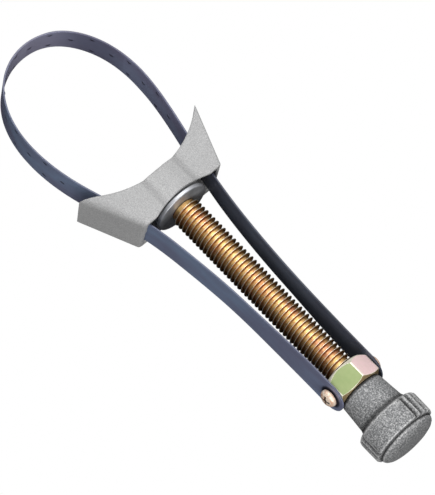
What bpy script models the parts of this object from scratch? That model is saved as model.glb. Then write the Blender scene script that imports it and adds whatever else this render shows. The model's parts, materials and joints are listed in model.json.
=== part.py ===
"""Oil filter wrench: a steel strap loop drawn through a cast saddle by a nut on a threaded spindle.

Frame: X runs along the spindle from the loop towards the knob, Y across the
jaws, Z up through the height of the strap.  Front is the loop's end (-X), back
or rear is the knob's (+X); right is +Y and left is -Y, as seen from the knob.
The origin is in the middle of the knob's flat end, on the spindle's axis.
Dimensions are measured along the spindle from the thrust washer's rear face,
and every piece is set back from the origin by KNOB_END_X.
"""

import functools
import math

import bmesh
import bpy
import numpy as np

MM = 0.001
KNOB_END_X = 127.35 * MM
SIDES = ((1, "right"), (-1, "left"))

MATERIALS = {
    "cast_aluminium": dict(colour=(0.50, 0.50, 0.51), roughness=0.62, metallic=0.55),
    "knob_casting": dict(colour=(0.30, 0.30, 0.31), roughness=0.66, metallic=0.55),
    "washer_steel": dict(colour=(0.55, 0.56, 0.58), roughness=0.34, metallic=1.0),
    "yellow_zinc_steel": dict(colour=(0.62, 0.40, 0.17), roughness=0.30, metallic=1.0),
    "iridescent_zinc_steel": dict(colour=(0.62, 0.60, 0.42), roughness=0.32, metallic=0.7),
    "blued_spring_steel": dict(colour=(0.10, 0.12, 0.20), roughness=0.30, metallic=0.9),
    "screw_zinc": dict(colour=(0.74, 0.55, 0.42), roughness=0.30, metallic=1.0),
    "clip_spring_steel": dict(colour=(0.16, 0.16, 0.17), roughness=0.40, metallic=1.0),
}

# spindle: half inch coarse thread
PITCH = 25.4 / 13 * MM
THREAD_R = 6.35 * MM
THREAD_ROOT_R = 5.15 * MM
THREAD_X = 0.8 * MM
THREAD_TURNS = 49
THREAD_SIDES = 16
JOURNAL_R = 4.5 * MM
JOURNAL_END_X = -14.3 * MM
JOURNAL_CHAMFER = 0.5 * MM
SHOULDER_X = 0.3 * MM
TENON_R = 5.0 * MM
TENON_X = 114.5 * MM

# retaining clip, centred in its groove
CLIP_X = -13.0 * MM
CLIP_T = 0.8 * MM
CLIP_R = 6.4 * MM
CLIP_INNER_R = 3.95 * MM
CLIP_GROOVE_R = 3.6 * MM
CLIP_GROOVE_HALF = 0.65 * MM
CLIP_GROOVE_EDGE = 0.05 * MM

# nut that carries both strap ends
NUT_X0 = 89.4 * MM
NUT_X1 = 99.2 * MM
NUT_AF = 19.05 * MM
NUT_CORNER_R = NUT_AF / math.sqrt(3)
NUT_FACE_R = 9.05 * MM
NUT_THREAD_GAP = 0.48 * MM
NUT_TURN = math.radians(-4.0)
NUT_BACK_CHAMFER = math.tan(math.radians(30))
TAP_FIRST_TURN = 43
TAP_TURNS = 10

# saddle casting
SADDLE_TOP_Z = 10.0 * MM
SADDLE_BOTTOM_Z = -10.8 * MM
SADDLE_BLANK_X0 = -34 * MM
SADDLE_BLANK_X1 = 4 * MM
SADDLE_CRISP_R = 0.8 * MM
SADDLE_ROCK = math.radians(2.0)
SADDLE_ROCK_X = -7.0 * MM
SADDLE_REAR_X = -0.6 * MM
SADDLE_REAR_LEAN = 0.065
SADDLE_REAR_W = 20.2 * MM
SADDLE_REAR_WX = -1.8 * MM
SADDLE_SLOPE = 0.42
JAW_FACE_X = -14.7 * MM
JAW_R = 45.8 * MM
ARCH_R = 12.6 * MM
BOSS_R = 11.0 * MM
BOSS_FACE_X = -2.5 * MM
BOSS_FACE_R = 11.9 * MM
BOSS_SEAT_X = 1.5 * MM
BOSS_SEAT_FLARE = 2.6  # growth in radius per length behind the boss's face
POCKET_HALF_H = 7.9 * MM
POCKET_X = -12.0 * MM
POCKET_INNER_Y = 6 * MM
WALL_T = 1.6 * MM
WALL_SLANT = 1.085  # the sloping wall's thickness along Y, over its true thickness
SLOT_HALF_H = 8.2 * MM
BORE_R = 5.0 * MM
COUNTERBORE_R = 7.6 * MM
COUNTERBORE_X = -11.6 * MM
BORE_TOOL_X0 = -40 * MM
BORE_TOOL_X1 = 8 * MM

# thrust washer between the saddle's boss and the spindle's shoulder
WASHER_R = 11.8 * MM
WASHER_X0 = -1.75 * MM
WASHER_X1 = 0.0
WASHER_FRONT_EDGE = 0.2 * MM
WASHER_BACK_EDGE = 0.5 * MM

# strap
STRAP_T = 0.7 * MM
STRAP_W = 14.0 * MM
STRAP_FLARE = 0.93 * MM
STRAP_GAP = 0.35 * MM
STRAP_NUT_GAP = 0.3 * MM
STRAP_FLAT_Y = NUT_AF / 2 + STRAP_NUT_GAP + STRAP_T / 2
STRAP_END_X = 100.5 * MM
STRAP_END_HALF_W = 0.6 * MM
STRAP_SLOT_X = -14.3 * MM
STRAP_FLANK_X = -61.5 * MM
STRAP_TIP_X = -90.3 * MM
STRAP_SAMPLES = 5000
TWIST_X = 45 * MM
TWIST_LENGTH = 40 * MM

# strap screws
SCREW_X = 94.1 * MM
SCREW_HOLE_R = 1.95 * MM
SCREW_SEAT_Y = NUT_AF / 2 + STRAP_NUT_GAP + STRAP_T + 0.3 * MM
RECESS_ARM = 2.1 * MM
RECESS_HALF_W = 0.45 * MM
RECESS_BOTTOM = 1.2 * MM
RECESS_TOP = 4.0 * MM

# knob; angles in degrees about X, from +Y
KNOB_X0 = 99.55 * MM
KNOB_SOCKET_R = 5.35 * MM
KNOB_SOCKET_X = 115.8 * MM
KNOB_SIDES = 96
KNOB_GRIP_X0 = 114.0 * MM
KNOB_GRIP_X1 = 124.7 * MM
KNOB_GRIP_MIN_R = 12.4 * MM
KNOB_PANEL_DEG = 121.5
KNOB_PANEL_HALF = 48.5
KNOB_PANEL_DEPTH = 0.35 * MM
KNOB_RIB_DEPTH = 0.9 * MM
KNOB_RIB_DEG = (90 - KNOB_PANEL_HALF) / 3
KNOB_BORDER_SHARE = 0.2  # share of the first rib's width that borders the panel
KNOB_BORDER_DEPTH = 0.4 * MM


# ---- scene objects ----

def material(name, colour, roughness, metallic):
    mat = bpy.data.materials.new(name)
    mat.use_nodes = True
    shader = mat.node_tree.nodes["Principled BSDF"]
    shader.inputs["Base Color"].default_value = (*colour, 1.0)
    shader.inputs["Roughness"].default_value = roughness
    shader.inputs["Metallic"].default_value = metallic
    return mat


def empty(name, x):
    """A parent on the spindle's axis."""
    obj = bpy.data.objects.new(name, None)
    obj.empty_display_size = 0.01
    obj.location = (x - KNOB_END_X, 0.0, 0.0)
    bpy.context.scene.collection.objects.link(obj)
    return obj


def mesh_object(name, shape, parent=None):
    """A closed (verts, faces) shape as an object, faces out, its origin on its parent."""
    verts, faces = shape
    at = np.array(parent.location) if parent else np.zeros(3)
    at = at + np.array((KNOB_END_X, 0.0, 0.0))
    mesh = bpy.data.meshes.new(name)
    mesh.from_pydata([tuple(np.array(vert) - at) for vert in verts], [], faces)
    bm = bmesh.new()
    bm.from_mesh(mesh)
    bmesh.ops.recalc_face_normals(bm, faces=bm.faces)
    bm.to_mesh(mesh)
    bm.free()
    obj = bpy.data.objects.new(name, mesh)
    bpy.context.scene.collection.objects.link(obj)
    if parent:
        obj.parent = parent
    return obj


def add_piece(name, shape, mat, parent=None, angle=32.0):
    """A visible piece, smooth except where faces meet at more than angle degrees."""
    piece = mesh_object(name, shape, parent)
    piece.data.materials.append(mat)
    piece.data.shade_smooth()
    piece.data.set_sharp_from_angle(angle=math.radians(angle))
    return piece


def combine(piece, name, shape, operation="DIFFERENCE"):
    """A live Boolean of a piece with a hidden helper made from shape."""
    helper = mesh_object(name, shape)
    helper.hide_render = True
    helper.display_type = "WIRE"
    mod = piece.modifiers.new(f"{operation.lower()}_{name}", "BOOLEAN")
    mod.operation = operation
    mod.solver = "EXACT"
    mod.object = helper


# ---- shapes ----

def scaled(table, x=0.0, y=0.0):
    """A table of pairs in mm as metres, measured from (x, y)."""
    return [(x + a * MM, y + b * MM) for a, b in table]


def arc(radius, first, step, count, centre=(0.0, 0.0)):
    """Points on an arc, with its first angle and its step in degrees."""
    angles = [math.radians(first + step * k) for k in range(count)]
    return [(centre[0] + radius * math.cos(t), centre[1] + radius * math.sin(t)) for t in angles]


def spun(verts, angle):
    """Points turned about the spindle's axis."""
    c, s = math.cos(angle), math.sin(angle)
    return [(x, y * c - z * s, y * s + z * c) for x, y, z in verts]


def turned(profile, sides, radius=None):
    """A solid of revolution about X from (x, r) points that start and end on the axis.

    radius(x, r, t) may vary the radius with the angle t.
    """
    verts, faces, rings = [], [], []
    for x, r in profile:
        first = len(verts)
        if r == 0:
            verts.append((x, 0.0, 0.0))
        else:
            for i in range(sides):
                t = 2 * math.pi * i / sides
                q = radius(x, r, t) if radius else r
                verts.append((x, q * math.cos(t), q * math.sin(t)))
        rings.append(list(range(first, len(verts))))
    for a, b in zip(rings, rings[1:]):
        for i in range(sides):
            j = (i + 1) % sides
            if len(a) == 1:
                faces.append((a[0], b[i], b[j]))
            elif len(b) == 1:
                faces.append((a[i], b[0], a[j]))
            else:
                faces.append((a[i], b[i], b[j], a[j]))
    return verts, faces


def cylinder(x0, x1, radius, sides):
    return turned([(x0, 0), (x0, radius), (x1, radius), (x1, 0)], sides)


def turned_ring(profile, sides):
    """A ring about X from a closed profile of (x, r)."""
    verts, faces, count = [], [], len(profile)
    for i in range(sides):
        t = 2 * math.pi * i / sides
        verts += [(x, r * math.cos(t), r * math.sin(t)) for x, r in profile]
        a, b = i * count, (i + 1) % sides * count
        for k in range(count):
            m = (k + 1) % count
            faces.append((a + k, a + m, b + m, b + k))
    return verts, faces


def loft(first, last):
    """A solid between two outlines with as many points each."""
    n = len(first)
    faces = [tuple(range(n))[::-1], tuple(range(n, 2 * n))]
    faces += [(i, (i + 1) % n, n + (i + 1) % n, n + i) for i in range(n)]
    return first + last, faces


def prism(outline, low, high, axis=2):
    """An outline of two coordinates, carried along the third axis from low to high."""
    ends = [[(*p[:axis], level, *p[axis:]) for p in outline] for level in (low, high)]
    return loft(*ends)


def threaded(x0, turns, root_r, crest_r, before, after):
    """A right-hand screw about X, of whole turns from x0.

    before and after hold the (x, r) rings that lead to each end.
    """
    sides = THREAD_SIDES
    steps = turns * sides
    verts, faces = [], []

    def keep(stations):
        """Stores one point for each (x, r, step round the axis) and returns their indices."""
        first = len(verts)
        for x, r, j in stations:
            t = 2 * math.pi * j / sides
            verts.append((x, r * math.cos(t), r * math.sin(t)))
        return list(range(first, len(verts)))

    def helix(share, r, count):
        return keep([(x0 + PITCH * (share + j / sides), r, j) for j in range(count)])

    # the root runs one turn further than the crest, so each crest lies between two roots
    root = helix(0.0, root_r, steps + sides + 1)
    crest = helix(0.5, crest_r, steps + 1)
    next_root = root[sides:]
    for a, b in ((root, crest), (crest, next_root)):
        faces += [(a[j], a[j + 1], b[j + 1], b[j]) for j in range(steps)]
    faces.append((next_root[0], crest[0], root[0]))
    faces.append((root[steps], crest[steps], next_root[steps]))

    # the end rings meet the first and the last turn of the root
    lead, tail = ([keep([(x, r, i) for i in range(sides)]) for x, r in rings]
                  for rings in (before, after))
    top, low, last = lead[-1], tail[0], root[steps:]
    for i in range(sides):
        j = (i + 1) % sides
        step = (root[0],) if i == sides - 1 else ()
        faces.append((top[i], top[j], *step, root[i + 1], root[i]))
        step = (last[sides],) if i == 0 else ()
        faces.append((last[i], last[i + 1], low[j], low[i], *step))
    for rings in (lead, tail):
        for a, b in zip(rings, rings[1:]):
            for i in range(sides):
                j = (i + 1) % sides
                faces.append((a[i], a[j], b[j], b[i]))
    faces += [tuple(lead[0]), tuple(tail[-1])]
    return verts, faces


def chord_runs(points):
    """The distance along a polyline to each of its points."""
    return np.concatenate([[0], np.cumsum(np.linalg.norm(np.diff(points, axis=0), axis=1))])


def smooth_curve(points, samples):
    """A natural cubic spline spaced by chord; returns positions and unit tangents."""
    knots = chord_runs(points)
    spans, n = np.diff(knots), len(points)
    system, rhs = np.eye(n), np.zeros_like(points)
    for i in range(1, n - 1):
        h0, h1 = spans[i - 1], spans[i]
        system[i, i - 1 : i + 2] = h0, 2 * (h0 + h1), h1
        rhs[i] = 6 * ((points[i + 1] - points[i]) / h1 - (points[i] - points[i - 1]) / h0)
    bend = np.linalg.solve(system, rhs)

    # u and v are the distances to the next knot and from the last, w the span between them
    s = np.linspace(0, knots[-1], samples)
    k = np.clip(np.searchsorted(knots, s, side="right") - 1, 0, n - 2)
    u, v, w = (knots[k + 1] - s)[:, None], (s - knots[k])[:, None], spans[k][:, None]
    bend0, bend1 = bend[k], bend[k + 1]
    line0 = points[k] / w - bend0 * w / 6
    line1 = points[k + 1] / w - bend1 * w / 6
    pos = (bend0 * u**3 + bend1 * v**3) / (6 * w) + line0 * u + line1 * v
    tan = (-bend0 * u**2 + bend1 * v**2) / (2 * w) - line0 + line1
    return pos, tan / np.linalg.norm(tan, axis=1)[:, None]


# ---- saddle ----

def saddle_half_width(x):
    return SADDLE_REAR_W + (SADDLE_REAR_WX - x) * SADDLE_SLOPE


def saddle_section(x, soft):
    """The blank's outline at x; two opposite corners have the soft radius, two the crisp one."""
    ring = []
    for cy, cz, first in ((1, 1, 0), (-1, 1, 90), (-1, -1, 180), (1, -1, 270)):
        radius = soft if cy * cz < 0 else SADDLE_CRISP_R
        level = SADDLE_TOP_Z if cz > 0 else SADDLE_BOTTOM_Z
        centre = (cy * (saddle_half_width(x) - radius), level - cz * radius)
        ring += [(x, y, z) for y, z in arc(radius, first, 15, 7, centre)]
    return ring


def rocked(shape):
    """The shape turned by the saddle's rock in plan."""
    c, s = math.cos(SADDLE_ROCK), math.sin(SADDLE_ROCK)
    verts = []
    for x, y, z in shape[0]:
        run = x - SADDLE_ROCK_X
        verts.append((SADDLE_ROCK_X + run * c - y * s, run * s + y * c, z))
    return verts, shape[1]


def saddle_pocket(side):
    """The hollow in the rear, beside the boss."""
    back = SADDLE_BLANK_X1 + 1 * MM
    wall = WALL_T * WALL_SLANT
    outline = [
        (back, POCKET_INNER_Y), (back, saddle_half_width(back) - wall),
        (POCKET_X, saddle_half_width(POCKET_X) - wall), (POCKET_X, POCKET_INNER_Y),
    ]
    return prism([(x, side * y) for x, y in outline], -POCKET_HALF_H, POCKET_HALF_H)


def saddle_rear_trim():
    """A cut along the leaning rear face and its two eased corners."""
    # X and Y in mm from the rear face's corner
    half = scaled([(0, -1.2), (-0.2, -0.3), (-0.7, 0.4), (-1.6, 0.9), (-1.6, 20), (14, 20)],
                  SADDLE_REAR_X, SADDLE_REAR_W)
    verts, faces = prism(half + [(x, -y) for x, y in half[::-1]], -30 * MM, 30 * MM)
    return [(x + (z - SADDLE_TOP_Z) * SADDLE_REAR_LEAN, y, z) for x, y, z in verts], faces


def saddle_boss_seat():
    """A cut that faces the boss and flares out behind it."""
    back = 9 * MM
    rim = BOSS_FACE_R + BOSS_SEAT_FLARE * (BOSS_SEAT_X - BOSS_FACE_X)
    return turned([(BOSS_FACE_X, 0), (BOSS_FACE_X, BOSS_FACE_R), (BOSS_SEAT_X, rim),
                   (back, rim), (back, 0)], 64)


def saddle_jaw():
    """A cut that leaves the concave jaw and its two horns."""
    curve = arc(JAW_R, -50, 2.5, 41, (JAW_FACE_X - JAW_R, 0.0))
    return prism(curve + scaled([(-120, 60), (-120, -60)]), -40 * MM, 40 * MM)


def saddle_slot(side):
    """The strap's way through one horn."""
    outline = scaled([(-9, 16.75), (-9, 20.43), (-36, 28.26), (-36, 23.5)])
    return prism([(x, side * y) for x, y in outline], -SLOT_HALF_H, SLOT_HALF_H)


def build_saddle(mat):
    back = saddle_section(SADDLE_BLANK_X1, soft=2.0 * MM)
    front = saddle_section(SADDLE_BLANK_X0, soft=5.6 * MM)
    saddle = add_piece("saddle", rocked(loft(back, front)), mat)

    def shape_with(name, shape, operation="DIFFERENCE"):
        combine(saddle, name, rocked(shape), operation)

    over = 2 * MM
    arch = cylinder(SADDLE_BLANK_X1 + over, SADDLE_BLANK_X0 - over, ARCH_R, 64)
    shape_with("arch", arch, "UNION")
    for side, name in SIDES:
        shape_with(f"pocket_{name}", saddle_pocket(side))
    boss = cylinder(SADDLE_BLANK_X1, POCKET_X - 1.5 * MM, BOSS_R, 64)
    shape_with("boss", boss, "UNION")
    shape_with("rear_trim", saddle_rear_trim())
    shape_with("boss_seat", saddle_boss_seat())
    shape_with("jaw_curve", saddle_jaw())
    for side, name in SIDES:
        shape_with(f"slot_{name}", saddle_slot(side))
    shape_with("bore", cylinder(BORE_TOOL_X1, BORE_TOOL_X0, BORE_R, 32))
    shape_with("counterbore", cylinder(COUNTERBORE_X, BORE_TOOL_X0, COUNTERBORE_R, 48))


# ---- spindle, washer and clip ----

def build_washer(mat):
    profile = [
        (WASHER_X0, BORE_R), (WASHER_X1, BORE_R),
        (WASHER_X1, WASHER_R - WASHER_BACK_EDGE), (WASHER_X1 - WASHER_BACK_EDGE, WASHER_R),
        (WASHER_X0 + WASHER_FRONT_EDGE, WASHER_R), (WASHER_X0, WASHER_R - WASHER_FRONT_EDGE),
    ]
    add_piece("thrust_washer", turned_ring(profile, 64), mat)


def build_spindle(mat, parent):
    """The spindle: grooved journal in front, long thread, and a plain tenon at the knob."""
    groove_x0, groove_x1 = CLIP_X - CLIP_GROOVE_HALF, CLIP_X + CLIP_GROOVE_HALF
    before = [
        (JOURNAL_END_X, JOURNAL_R - JOURNAL_CHAMFER), (JOURNAL_END_X + JOURNAL_CHAMFER, JOURNAL_R),
        (groove_x0 - CLIP_GROOVE_EDGE, JOURNAL_R), (groove_x0, CLIP_GROOVE_R),
        (groove_x1, CLIP_GROOVE_R), (groove_x1 + CLIP_GROOVE_EDGE, JOURNAL_R),
        (SHOULDER_X, JOURNAL_R), (SHOULDER_X + 0.02 * MM, THREAD_ROOT_R),
    ]
    thread_end = THREAD_X + (THREAD_TURNS + 1) * PITCH
    after = [(thread_end + 0.2 * MM, THREAD_ROOT_R), (thread_end + 0.25 * MM, TENON_R),
             (TENON_X, TENON_R)]
    rod = threaded(THREAD_X, THREAD_TURNS, THREAD_ROOT_R, THREAD_R, before, after)
    add_piece("spindle", rod, mat, parent, angle=24)


def build_clip(mat, parent):
    """An open ring with its gap towards +Y."""
    outline = arc(CLIP_R, 30, 15, 21) + arc(CLIP_INNER_R, 30, 15, 21)[::-1]
    ring = prism(outline, CLIP_X - CLIP_T / 2, CLIP_X + CLIP_T / 2, axis=0)
    add_piece("retaining_clip", ring, mat, parent)


# ---- nut and strap screws ----

def on_screw_axis(shape, side):
    """A shape about X, laid on the axis of the strap screw on one side of the nut."""
    verts, faces = shape
    return spun([(SCREW_X + y, side * x, z) for x, y, z in verts], NUT_TURN), faces


def screw_hole(side, low, high):
    return on_screw_axis(cylinder(low, high, SCREW_HOLE_R, 24), side)


def nut_chamfer():
    """The solid that bounds the nut: 45 degrees at the front, flatter at the back."""
    over = 0.2 * MM
    reach = NUT_CORNER_R + 0.3 * MM
    rise = reach - NUT_FACE_R
    return turned([
        (NUT_X0 - over, 0), (NUT_X0 - over, NUT_FACE_R - over), (NUT_X0 + rise, reach),
        (NUT_X1 - rise * NUT_BACK_CHAMFER, reach),
        (NUT_X1 + over, NUT_FACE_R - over / NUT_BACK_CHAMFER), (NUT_X1 + over, 0),
    ], 48)


def nut_tap():
    """The nut's thread, in phase with the spindle's and wider by the gap."""
    root_r = THREAD_ROOT_R + NUT_THREAD_GAP
    start = THREAD_X + TAP_FIRST_TURN * PITCH
    over = 2 * MM
    return threaded(start, TAP_TURNS, root_r, THREAD_R + NUT_THREAD_GAP, [(start - over, root_r)],
                    [(start + (TAP_TURNS + 1) * PITCH + over, root_r)])


def nut_sink(x, away):
    """A countersink at the end of the tapped hole; away is the sign of X out of the nut."""
    inside, outside = x - away * 1.3 * MM, x + away * 1.0 * MM
    mouth_r = THREAD_R + NUT_THREAD_GAP + 1.2 * MM
    return turned([(inside, 0), (inside, THREAD_ROOT_R), (outside, mouth_r), (outside, 0)], 48)


def build_nut(mat, parent):
    """The hexagonal nut, tapped for the spindle and drilled for both strap screws."""
    verts, faces = prism(arc(NUT_CORNER_R, 30, 60, 6), NUT_X0, NUT_X1, axis=0)
    nut = add_piece("hex_nut", (spun(verts, NUT_TURN), faces), mat, parent)
    combine(nut, "nut_chamfer", nut_chamfer(), "INTERSECT")
    combine(nut, "nut_tap", nut_tap())
    combine(nut, "nut_sink_front", nut_sink(NUT_X0, -1))
    combine(nut, "nut_sink_back", nut_sink(NUT_X1, 1))
    for side, name in SIDES:
        combine(nut, f"nut_hole_{name}", screw_hole(side, 4 * MM, 14 * MM))


def build_screw(name, side, mat, parent):
    """A pan-head screw with a cross recess, through the nut's side."""
    # distance along the screw and radius, in mm; the head is measured from its seat
    shank = scaled([(7.3, 0), (7.3, 1.3), (7.7, 1.6)])
    head = scaled([(0, 1.6), (0, 3.6), (1.1, 3.6), (1.8, 3.2), (2.35, 2.4), (2.6, 1.3), (2.6, 0)],
                  SCREW_SEAT_Y)
    screw = add_piece(name, on_screw_axis(turned(shank + head, 24), side), mat, parent)
    arm, half = RECESS_ARM, RECESS_HALF_W
    cross = [
        (arm, -half), (arm, half), (half, half), (half, arm), (-half, arm), (-half, half),
        (-arm, half), (-arm, -half), (-half, -half), (-half, -arm), (half, -arm), (half, -half),
    ]
    levels = sorted(side * (SCREW_SEAT_Y + rise) for rise in (RECESS_BOTTOM, RECESS_TOP))
    verts, faces = prism([(SCREW_X + x, z) for x, z in cross], *levels, axis=1)
    combine(screw, f"{name}_recess", (spun(verts, NUT_TURN), faces))


# ---- knob ----

def knob_radius(x, r, t):
    """The knob's head: two groups of ribs between two hollowed panels; the rest stays round."""
    if not KNOB_GRIP_X0 < x < KNOB_GRIP_X1 or r < KNOB_GRIP_MIN_R:
        return r
    turn = (math.degrees(t) - KNOB_PANEL_DEG) % 180.0
    if turn > 90:
        turn = 180 - turn
    if turn < KNOB_PANEL_HALF:
        return r - KNOB_PANEL_DEPTH * math.cos(math.radians(turn * 90 / KNOB_PANEL_HALF))
    rib = (turn - KNOB_PANEL_HALF) / KNOB_RIB_DEG
    if rib > KNOB_BORDER_SHARE:
        return r - KNOB_RIB_DEPTH * (0.5 + 0.5 * math.cos(2 * math.pi * rib))
    return r - KNOB_BORDER_DEPTH


def build_knob(mat, parent):
    socket = [(KNOB_SOCKET_X, 0.0), (KNOB_SOCKET_X, KNOB_SOCKET_R), (KNOB_X0, KNOB_SOCKET_R)]
    # X and radius in mm: the rim of the front face, the neck and head, then the flat end
    rim = scaled([(0, 8.8), (0.4, 9.15)], KNOB_X0)
    neck = scaled([
        (105.5, 9.6), (110.9, 10.1), (112.2, 10.6), (113.0, 11.6),
        (113.6, 12.7), (114.2, 13.5), (114.9, 13.8),
    ])
    end = scaled([
        (-4.1, 13.7), (-3.4, 13.1), (-2.8, 12.5), (-1.7, 11.8), (-0.9, 10.7),
        (-0.4, 9.1), (-0.1, 7.3), (0, 6.6), (0, 0),
    ], KNOB_END_X)
    shape = turned(socket + rim + neck + end, KNOB_SIDES, knob_radius)
    add_piece("knob", shape, mat, parent)


# ---- strap ----

@functools.cache
def strap_path():
    """Positions, unit tangents and runs along the centreline, from the right end to the left."""
    flat = STRAP_FLAT_Y / MM
    # X and Y in mm
    right = [
        (101, flat), (84, flat), (62, 10.5), (40, 11.4), (20, 13.0), (5, 14.9), (-12, 18.1),
        (-33, 22.6), (-51.5, 24.95), (-66, 23.8), (-79.6, 18.2), (-87.65, 9.95),
    ]
    tip = [(STRAP_TIP_X / MM, -2.0)]
    left = [
        (-87.7, -12.0), (-79.45, -22.1), (-66, -28.4), (-51, -29.8), (-30.5, -26.3), (-12, -20.1),
        (5, -15.8), (20, -13.6), (40, -11.5), (62, -10.6), (84, -flat), (101, -flat),
    ]
    pos, tan = smooth_curve(np.array(right + tip + left) * MM, STRAP_SAMPLES)
    return pos, tan, chord_runs(pos)


def strap_frame(where):
    """Centre, outward normal, twist about X and flare at runs along the strap."""
    pos, tan, run = strap_path()
    x, y, dx, dy = (np.interp(where, run, column) for column in (*pos.T, *tan.T))
    size = np.hypot(dx, dy)
    ease = np.clip((x - TWIST_X) / TWIST_LENGTH, 0, 1)
    twist = NUT_TURN * ease * ease * (3 - 2 * ease)
    # runs in mm and the share of the full flare at each
    flare = STRAP_FLARE * np.interp(where / MM, (155, 200, 224, 256), (0, 1, 0.3, 0))
    return x, y, dy / size, -dx / size, twist, flare


def strap_run(x, side):
    """The run along the strap at which its left (-1) or right (+1) side passes x."""
    pos, _, run = strap_path()
    tip = int(np.argmin(pos[:, 0]))
    if side > 0:
        return float(np.interp(-x, -pos[: tip + 1, 0], run[: tip + 1]))
    return float(np.interp(x, pos[tip:, 0], run[tip:]))


def strap_piece(name, start, end, stations, mat, parent=None, rounded=False):
    """A length of strap between two runs; rounded gives its start a full-round shape."""
    half = STRAP_W / 2
    if rounded:
        way = 1 if end > start else -1
        turn = np.linspace(0, math.pi / 2, 7)
        rest = np.linspace(start + way * half, end, stations)[1:]
        where = np.concatenate([start + way * half * (1 - np.cos(turn)), rest])
        wide = np.concatenate([half * np.sin(turn), np.full(len(rest), half)])
        wide[0] = STRAP_END_HALF_W
    else:
        where, wide = np.linspace(start, end, stations), np.full(stations, half)
    x, y, nx, ny, twist, flare = strap_frame(where)
    verts, faces = [], []
    for i in range(len(where)):
        for off, z in ((-1, -1), (1, -1), (1, 1), (-1, 1)):
            out = off * STRAP_T / 2 - z * flare[i]
            point = (x[i] + out * nx[i], y[i] + out * ny[i], z * wide[i])
            verts += spun([point], twist[i])
    for a in range(0, len(verts) - 4, 4):
        b = a + 4
        faces += [(a + k, a + (k + 1) % 4, b + (k + 1) % 4, b + k) for k in range(4)]
    faces += [(3, 2, 1, 0), tuple(range(len(verts) - 4, len(verts)))]
    return add_piece(name, (verts, faces), mat, parent)


def build_strap(mat, screw_mat, carriage):
    """The strap in six lengths with small gaps between, and the two screws that hold it."""
    flanks = {}
    for side, name in SIDES:
        tip = strap_run(STRAP_END_X, side)
        slot = strap_run(STRAP_SLOT_X, side)
        flanks[side] = strap_run(STRAP_FLANK_X, side)
        leg = strap_piece(f"strap_leg_{name}", tip, slot, 12, mat, carriage, rounded=True)
        combine(leg, f"strap_hole_{name}", screw_hole(side, 6 * MM, 16 * MM))
        start, end = sorted((slot + side * STRAP_GAP, flanks[side]))
        strap_piece(f"strap_flank_{name}", start, end, 16, mat)
        build_screw(f"strap_screw_{name}", side, screw_mat, carriage)
    middle = strap_run(STRAP_TIP_X, 1)
    half_gap = STRAP_GAP / 2
    strap_piece("strap_crown_right", flanks[1] + STRAP_GAP, middle - half_gap, 18, mat)
    strap_piece("strap_crown_left", middle + half_gap, flanks[-1] - STRAP_GAP, 18, mat)


def main():
    for obj in list(bpy.data.objects):
        bpy.data.objects.remove(obj, do_unlink=True)

    mats = {name: material(name, **look) for name, look in MATERIALS.items()}
    spindle_axis = empty("spindle_axis", 0.0)
    carriage = empty("nut_carriage", SCREW_X)

    build_saddle(mats["cast_aluminium"])
    build_washer(mats["washer_steel"])
    build_spindle(mats["yellow_zinc_steel"], spindle_axis)
    build_clip(mats["clip_spring_steel"], spindle_axis)
    build_nut(mats["iridescent_zinc_steel"], carriage)
    build_knob(mats["knob_casting"], spindle_axis)
    build_strap(mats["blued_spring_steel"], mats["screw_zinc"], carriage)


main()
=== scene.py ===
"""Looks for an oil filter wrench: fine pieces, procedural materials, a soft studio and a camera.

Row frame, in metres: X along the spindle from the strap's loop towards the knob, Y across
the jaws (right is +Y, left is -Y), Z up through the strap's width, origin in the middle of
the knob's end. Shapes are laid out with X measured from the thrust washer's knob-side face
instead, and new_mesh moves them into the row frame.
"""

import json
import math

import bmesh
import bpy
import numpy as np
from mathutils import Matrix, Vector

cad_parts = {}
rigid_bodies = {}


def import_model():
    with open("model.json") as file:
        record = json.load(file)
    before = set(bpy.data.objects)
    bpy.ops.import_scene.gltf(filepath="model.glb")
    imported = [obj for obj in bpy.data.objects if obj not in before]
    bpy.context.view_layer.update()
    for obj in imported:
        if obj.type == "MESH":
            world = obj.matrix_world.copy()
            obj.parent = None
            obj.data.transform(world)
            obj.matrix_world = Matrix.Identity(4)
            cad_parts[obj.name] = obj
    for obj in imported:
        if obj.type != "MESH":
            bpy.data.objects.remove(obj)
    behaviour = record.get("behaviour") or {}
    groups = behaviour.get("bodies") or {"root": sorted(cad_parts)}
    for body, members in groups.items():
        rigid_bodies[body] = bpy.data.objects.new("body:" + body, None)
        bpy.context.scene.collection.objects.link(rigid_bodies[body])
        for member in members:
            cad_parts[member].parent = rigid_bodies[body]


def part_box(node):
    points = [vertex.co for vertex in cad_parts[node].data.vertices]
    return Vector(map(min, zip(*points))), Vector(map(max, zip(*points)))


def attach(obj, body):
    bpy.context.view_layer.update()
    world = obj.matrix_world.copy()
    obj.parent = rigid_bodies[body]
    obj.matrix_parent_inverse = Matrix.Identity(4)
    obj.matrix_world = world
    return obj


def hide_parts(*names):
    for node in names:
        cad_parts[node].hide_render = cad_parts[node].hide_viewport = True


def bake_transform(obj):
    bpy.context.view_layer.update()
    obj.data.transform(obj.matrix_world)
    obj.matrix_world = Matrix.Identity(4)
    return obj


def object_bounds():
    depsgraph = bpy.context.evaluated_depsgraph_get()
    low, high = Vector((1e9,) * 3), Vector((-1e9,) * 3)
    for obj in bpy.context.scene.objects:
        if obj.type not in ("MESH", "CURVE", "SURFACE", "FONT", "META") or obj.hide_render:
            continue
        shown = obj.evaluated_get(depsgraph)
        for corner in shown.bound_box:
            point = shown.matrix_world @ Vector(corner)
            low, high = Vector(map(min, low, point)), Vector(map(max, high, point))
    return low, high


for left_over in list(bpy.data.objects):
    bpy.data.objects.remove(left_over, do_unlink=True)

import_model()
cad_low, cad_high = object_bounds()

MM = 0.001
SHIFT = -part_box("thrust_washer")[1].x  # from row X to X measured from the thrust face


def span(part):
    """The X range of a CAD part, measured from the thrust face."""
    low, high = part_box(part)
    return low.x + SHIFT, high.x + SHIFT


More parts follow.
